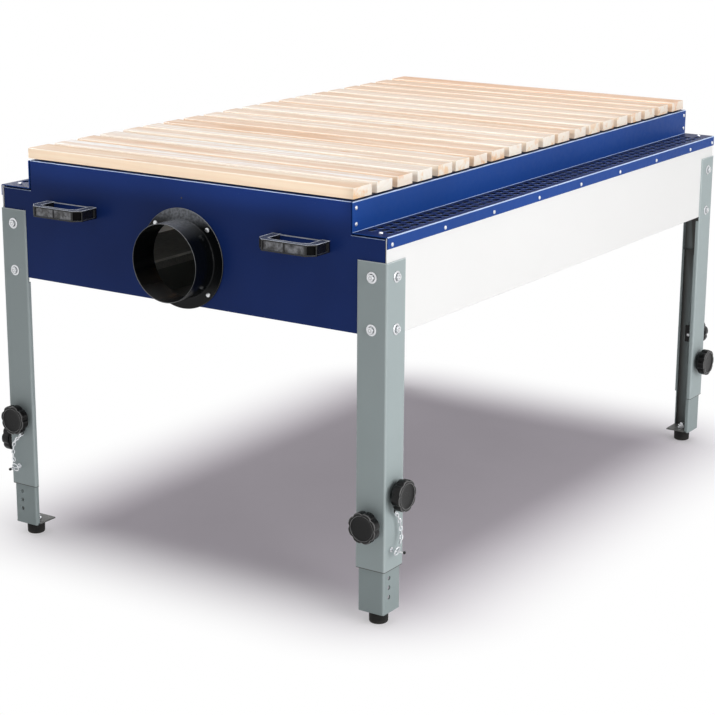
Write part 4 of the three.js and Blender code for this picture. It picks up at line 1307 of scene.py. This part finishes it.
def smooth_run(points, steps):
    """Points along a smooth curve through the given ones."""
    run = []
    ends = [2 * points[0] - points[1]] + points + [2 * points[-1] - points[-2]]
    for p0, p1, p2, p3 in zip(ends, ends[1:], ends[2:], ends[3:]):
        for i in range(steps):
            t = i / steps
            run.append(0.5 * (2 * p1 + (p2 - p0) * t + (2 * p0 - 5 * p1 + 4 * p2 - p3) * t * t
                              + (3 * p1 - p0 - 3 * p2 + p3) * t ** 3))
    run.append(points[-1])
    return run


def chain(face):
    """Links along the chain's run, each turned a quarter from the last."""
    run = smooth_run(chain_curve(face), 24)
    pitch = LINK_LENGTH - 2 * LINK_WIRE - LINK_PLAY
    shape = Shape()
    walked, target, count = 0.0, pitch / 2, 0
    for a, b in zip(run, run[1:]):
        step = (b - a).length
        while walked + step >= target:
            point = a.lerp(b, (target - walked) / step)
            turn = (b - a).normalized().to_track_quat("Z", "X").to_matrix().to_4x4()
            shape.add(chain_link(LINK_TWIST + 90 * (count % 2)), Matrix.Translation(point) @ turn)
            count += 1
            target += pitch
        walked += step
    return shape


def chain_hook(face):
    """A wire ring round the hub with a small eye that carries the chain."""
    hub = Vector((LEG_MIDDLE, OUTER_BOTTOM + UPPER_KNOB_RISE, HOOK_OUT))
    reach = KNOB_HUB + 1.4
    ring = around(40, lambda c, s: hub + Vector((reach * c, reach * s, 0)))
    start = chain_curve(face)[0]
    level = Vector((start.x - hub.x, start.y - hub.y, 0))
    edge = hub + level.normalized() * reach
    out = Vector((0, 0, 1))
    middle = (edge + start) / 2 + out
    half = (start - edge).length / 2 + 2
    across = (start - edge).normalized()
    aside = across.cross(out).normalized() * HOOK_EYE + out * HOOK_EYE_RISE
    eye = around(28, lambda c, s: middle + across * half * c + aside * s)
    return wire_loop(ring, HOOK_WIRE).add(wire_loop(eye, HOOK_WIRE))


def foot_puck():
    """A rubber foot, rounded at the floor."""
    top = FOOT_HEIGHT
    edge = arc(FOOT_RADIUS - FOOT_FLARE - FOOT_ROUND, FOOT_ROUND, FOOT_ROUND, -QUARTER, QUARTER, 5)
    return lathe([
        (0, 0), *edge, (FOOT_RADIUS, top - 4), (FOOT_RADIUS, top - 0.8), (FOOT_RADIUS - 0.8, top), (0, top),
    ], 72)


def foot_fastener():
    """The foot's stud with a nut and its washer on the foot plate."""
    bottom = INNER_BOTTOM + FOOT_PLATE + FIT_GAP
    seat = bottom + FOOT_WASHER
    washer = FOOT_NUT + 2
    shape = bar(FOOT_STUD, FOOT_HEIGHT - 3, bottom + FOOT_NUT_HEIGHT + FOOT_TAIL, 28, 0.8)
    shape.add(lathe([(0, bottom), (washer, bottom), (washer, seat), (0, seat)], 40))
    return shape.add(hexagon(FOOT_NUT, seat, bottom + FOOT_NUT_HEIGHT, dish=False))


def knobs_of_leg(name, number, place):
    for kind, at, turn in (("upper", UPPER_KNOB_AT, 0), ("lower", LOWER_KNOB_AT, LOWER_KNOB_TURN)):
        body = f"{name}_{kind}_knob"
        turned = place @ at @ spin(KNOB_TURN + KNOB_TURN_STEP * number + turn)
        stud = bar(STUD_RADIUS, -STUD_REACH, KNOB_STAND, 24, 0.8)
        piece(knob().moved(turned), body + "_head", KNOB_BLACK, body, body)
        piece(stud.moved(turned), body + "_stud", ZINC, body)
        piece(clamp_plate().moved(place @ at), f"{name}_{kind}_clamp", PLASTIC)


def pin_of_leg(name, face, place):
    body = name + "_lock_pin"
    run = place @ ON_FIRST
    piece(lock_pin().moved(place @ PIN_AT), body + "_shank", ZINC, body, body)
    piece(pin_tip().moved(place @ PIN_AT), body + "_tip", PLASTIC, body)
    piece(chain(face).moved(run), name + "_chain_links", ZINC, stands_for=name + "_pin_chain")
    piece(chain_hook(face).moved(run), name + "_chain_hook", PLASTIC)


def legs():
    outer, inner = outer_leg(), inner_leg()
    foot_middle = (INNER_OFFSET + INNER_EDGE) / 2
    for number, (name, (sx, sy, degrees)) in enumerate(LEGS.items()):
        face = "end" if degrees % 180 else "side"
        place = TO_FRAME @ shifted(sx * CORNER_X, sy * CORNER_Y, 0) @ spin(degrees)
        at_foot = place @ shifted(foot_middle, foot_middle, 0)
        nut = foot_fastener().moved(at_foot @ spin(FOOT_NUT_TURN + FOOT_NUT_STEP * number))
        body = name + "_leg"
        piece(outer.moved(place), name + "_outer_angle", LEG_GREY,
              stands_for=name + "_outer_leg")
        piece(leg_bolts(face).moved(place), name + "_bolts", ZINC)
        piece(inner.moved(place), name + "_inner_angle", INNER_GREY, body,
              name + "_inner_leg")
        piece(foot_puck().moved(at_foot), name + "_foot_puck", RUBBER, body, name + "_foot")
        piece(nut, name + "_foot_nut", ZINC, body)
        knobs_of_leg(name, number, place)
        pin_of_leg(name, face, place)


def carried_over():
    """CAD pieces whose shape is right get a finish and softened edges."""
    for name, material, slot in (
        ("floor_pan", PAN_BLACK, "blue_panel"),
        ("front_slat_bearer", DULL_STEEL, "zinc"),
        ("rear_slat_bearer", DULL_STEEL, "zinc"),
    ):
        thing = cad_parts[name]
        thing.data.materials.clear()
        thing.data.materials.append(material)
        thing.modifiers.new("join_corners", "WELD").merge_threshold = 1e-5
        soften(thing, 0.5, 2)


# Camera, floor and light

def add_camera():
    camera = bpy.data.objects.new("camera", bpy.data.cameras.new("camera"))
    camera.data.lens = CAMERA_LENS
    camera.data.clip_end = 100
    azimuth, elevation = math.radians(CAMERA_AZIMUTH), math.radians(CAMERA_ELEVATION)
    forward = Vector((-math.sin(azimuth) * math.cos(elevation), math.cos(azimuth) * math.cos(elevation),
                      -math.sin(elevation)))
    level = forward.to_track_quat("-Z", "Y").to_matrix().to_4x4()
    camera.matrix_world = shifted(*[x * MM for x in CAMERA_PLACE]) @ level @ spin(CAMERA_ROLL)
    bpy.context.scene.collection.objects.link(camera)
    bpy.context.scene.camera = camera


def area_light(name, place, aim, size, strength):
    """A soft lamp whose face has the given radiance."""
    data = bpy.data.lights.new(name, "AREA")
    data.shape = "RECTANGLE"
    data.size, data.size_y = size
    data.energy = strength * size[0] * size[1] * math.pi
    lamp = bpy.data.objects.new(name, data)
    lamp.location = place
    lamp.rotation_euler = (Vector(aim) - Vector(place)).to_track_quat("-Z", "Y").to_euler()
    lamp.visible_camera = False
    bpy.context.scene.collection.objects.link(lamp)
    return lamp


def slat_strip():
    """A flagged strip light that grazes the slats and stays off the end panel."""
    lean = math.radians(STRIP_LEAN)
    aim = Vector((0, STRIP_SHIFT, high("slat_01").z * MM - STRIP_DROP))
    away = Vector((-math.cos(lean), 0, math.sin(lean))) * STRIP_DISTANCE
    strip = area_light("slat_strip", aim + away, aim, STRIP_SIZE, 1.0)
    strip.data.spread = math.radians(STRIP_SPREAD)
    strip.data.energy = STRIP_POWER
    strip.visible_glossy = False


def add_light():
    world = bpy.data.worlds.new("studio")
    world.use_nodes = True
    bpy.context.scene.world = world
    n = Nodes(world.node_tree)
    path = n.node("LightPath").outputs
    seen = n.math("MAXIMUM", n.math("MAXIMUM", path["Is Camera Ray"], path["Is Transmission Ray"]),
                  path["Is Glossy Ray"])
    sky = n.nodes["Background"]
    sky.inputs["Color"].default_value = (1, 1, 1, 1)
    n.feed(sky.inputs["Strength"], n.ramp(seen, 0.0, 1.0, WORLD_LIGHT, 1.0))
    for name, (place, aim, size, strength) in LAMPS.items():
        area_light(name, place, aim, size, strength)
    slat_strip()


def add_floor():
    """A floor that keeps the table's shadow, which the camera sees darker and purpler as painted shade, and
    glows white away from it.
    """
    bpy.ops.mesh.primitive_plane_add(size=FLOOR_SIZE, location=(0, 0, -FLOOR_DROP))
    floor = bpy.context.object
    floor.name = "studio_floor"
    f = Finish("studio_floor")
    path = f.node("LightPath").outputs
    # the camera sees the floor darker and purpler than the light does: painted shade round the table
    tint = f.mix(path["Is Camera Ray"], factor(0.93, 0.915, 0.92), factor(0.83, 0.765, 0.84))
    f.done(f.stained(tint, f.patches(FLOOR_CLOUDS, 0.985, 1.0)), 0.9, specular=0.0)
    off_middle = f.math("SUBTRACT", f.part(f.place, "X"), FLOOR_MIDDLE_X)
    squares = []
    for across, half in ((off_middle, FLOOR_HALF_X), (f.part(f.place, "Y"), FLOOR_HALF_Y)):
        past = f.math("MAXIMUM", f.math("SUBTRACT", f.math("ABSOLUTE", across), half), 0.0)
        squares.append(f.times(past, past))
    white = f.ramp(f.math("SQRT", f.math("ADD", *squares)), 0.0, FLOOR_FADE)
    seen = f.math("MAXIMUM", path["Is Camera Ray"], path["Is Glossy Ray"])
    glow = f.node("Emission", {"Color": (1, 1, 1, 1), "Strength": 1.0}).outputs[0]
    blend = f.node("MixShader", {0: f.times(white, seen), 1: f.shader.outputs[0], 2: glow})
    f.links.new(blend.outputs[0], f.nodes["Material Output"].inputs["Surface"])
    floor.data.materials.append(f.material)
    floor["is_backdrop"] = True


add_camera()
add_light()
add_floor()

ledge_panels()
side_panels()
end_panels()
box_fasteners()
spigot()
carry_handles()
slats()
legs()
carried_over()

bpy.context.scene.view_settings.view_transform = "Standard"
bpy.context.view_layer.update()
[[list(corner) for corner in box] for box in (cad_bounds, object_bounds())]
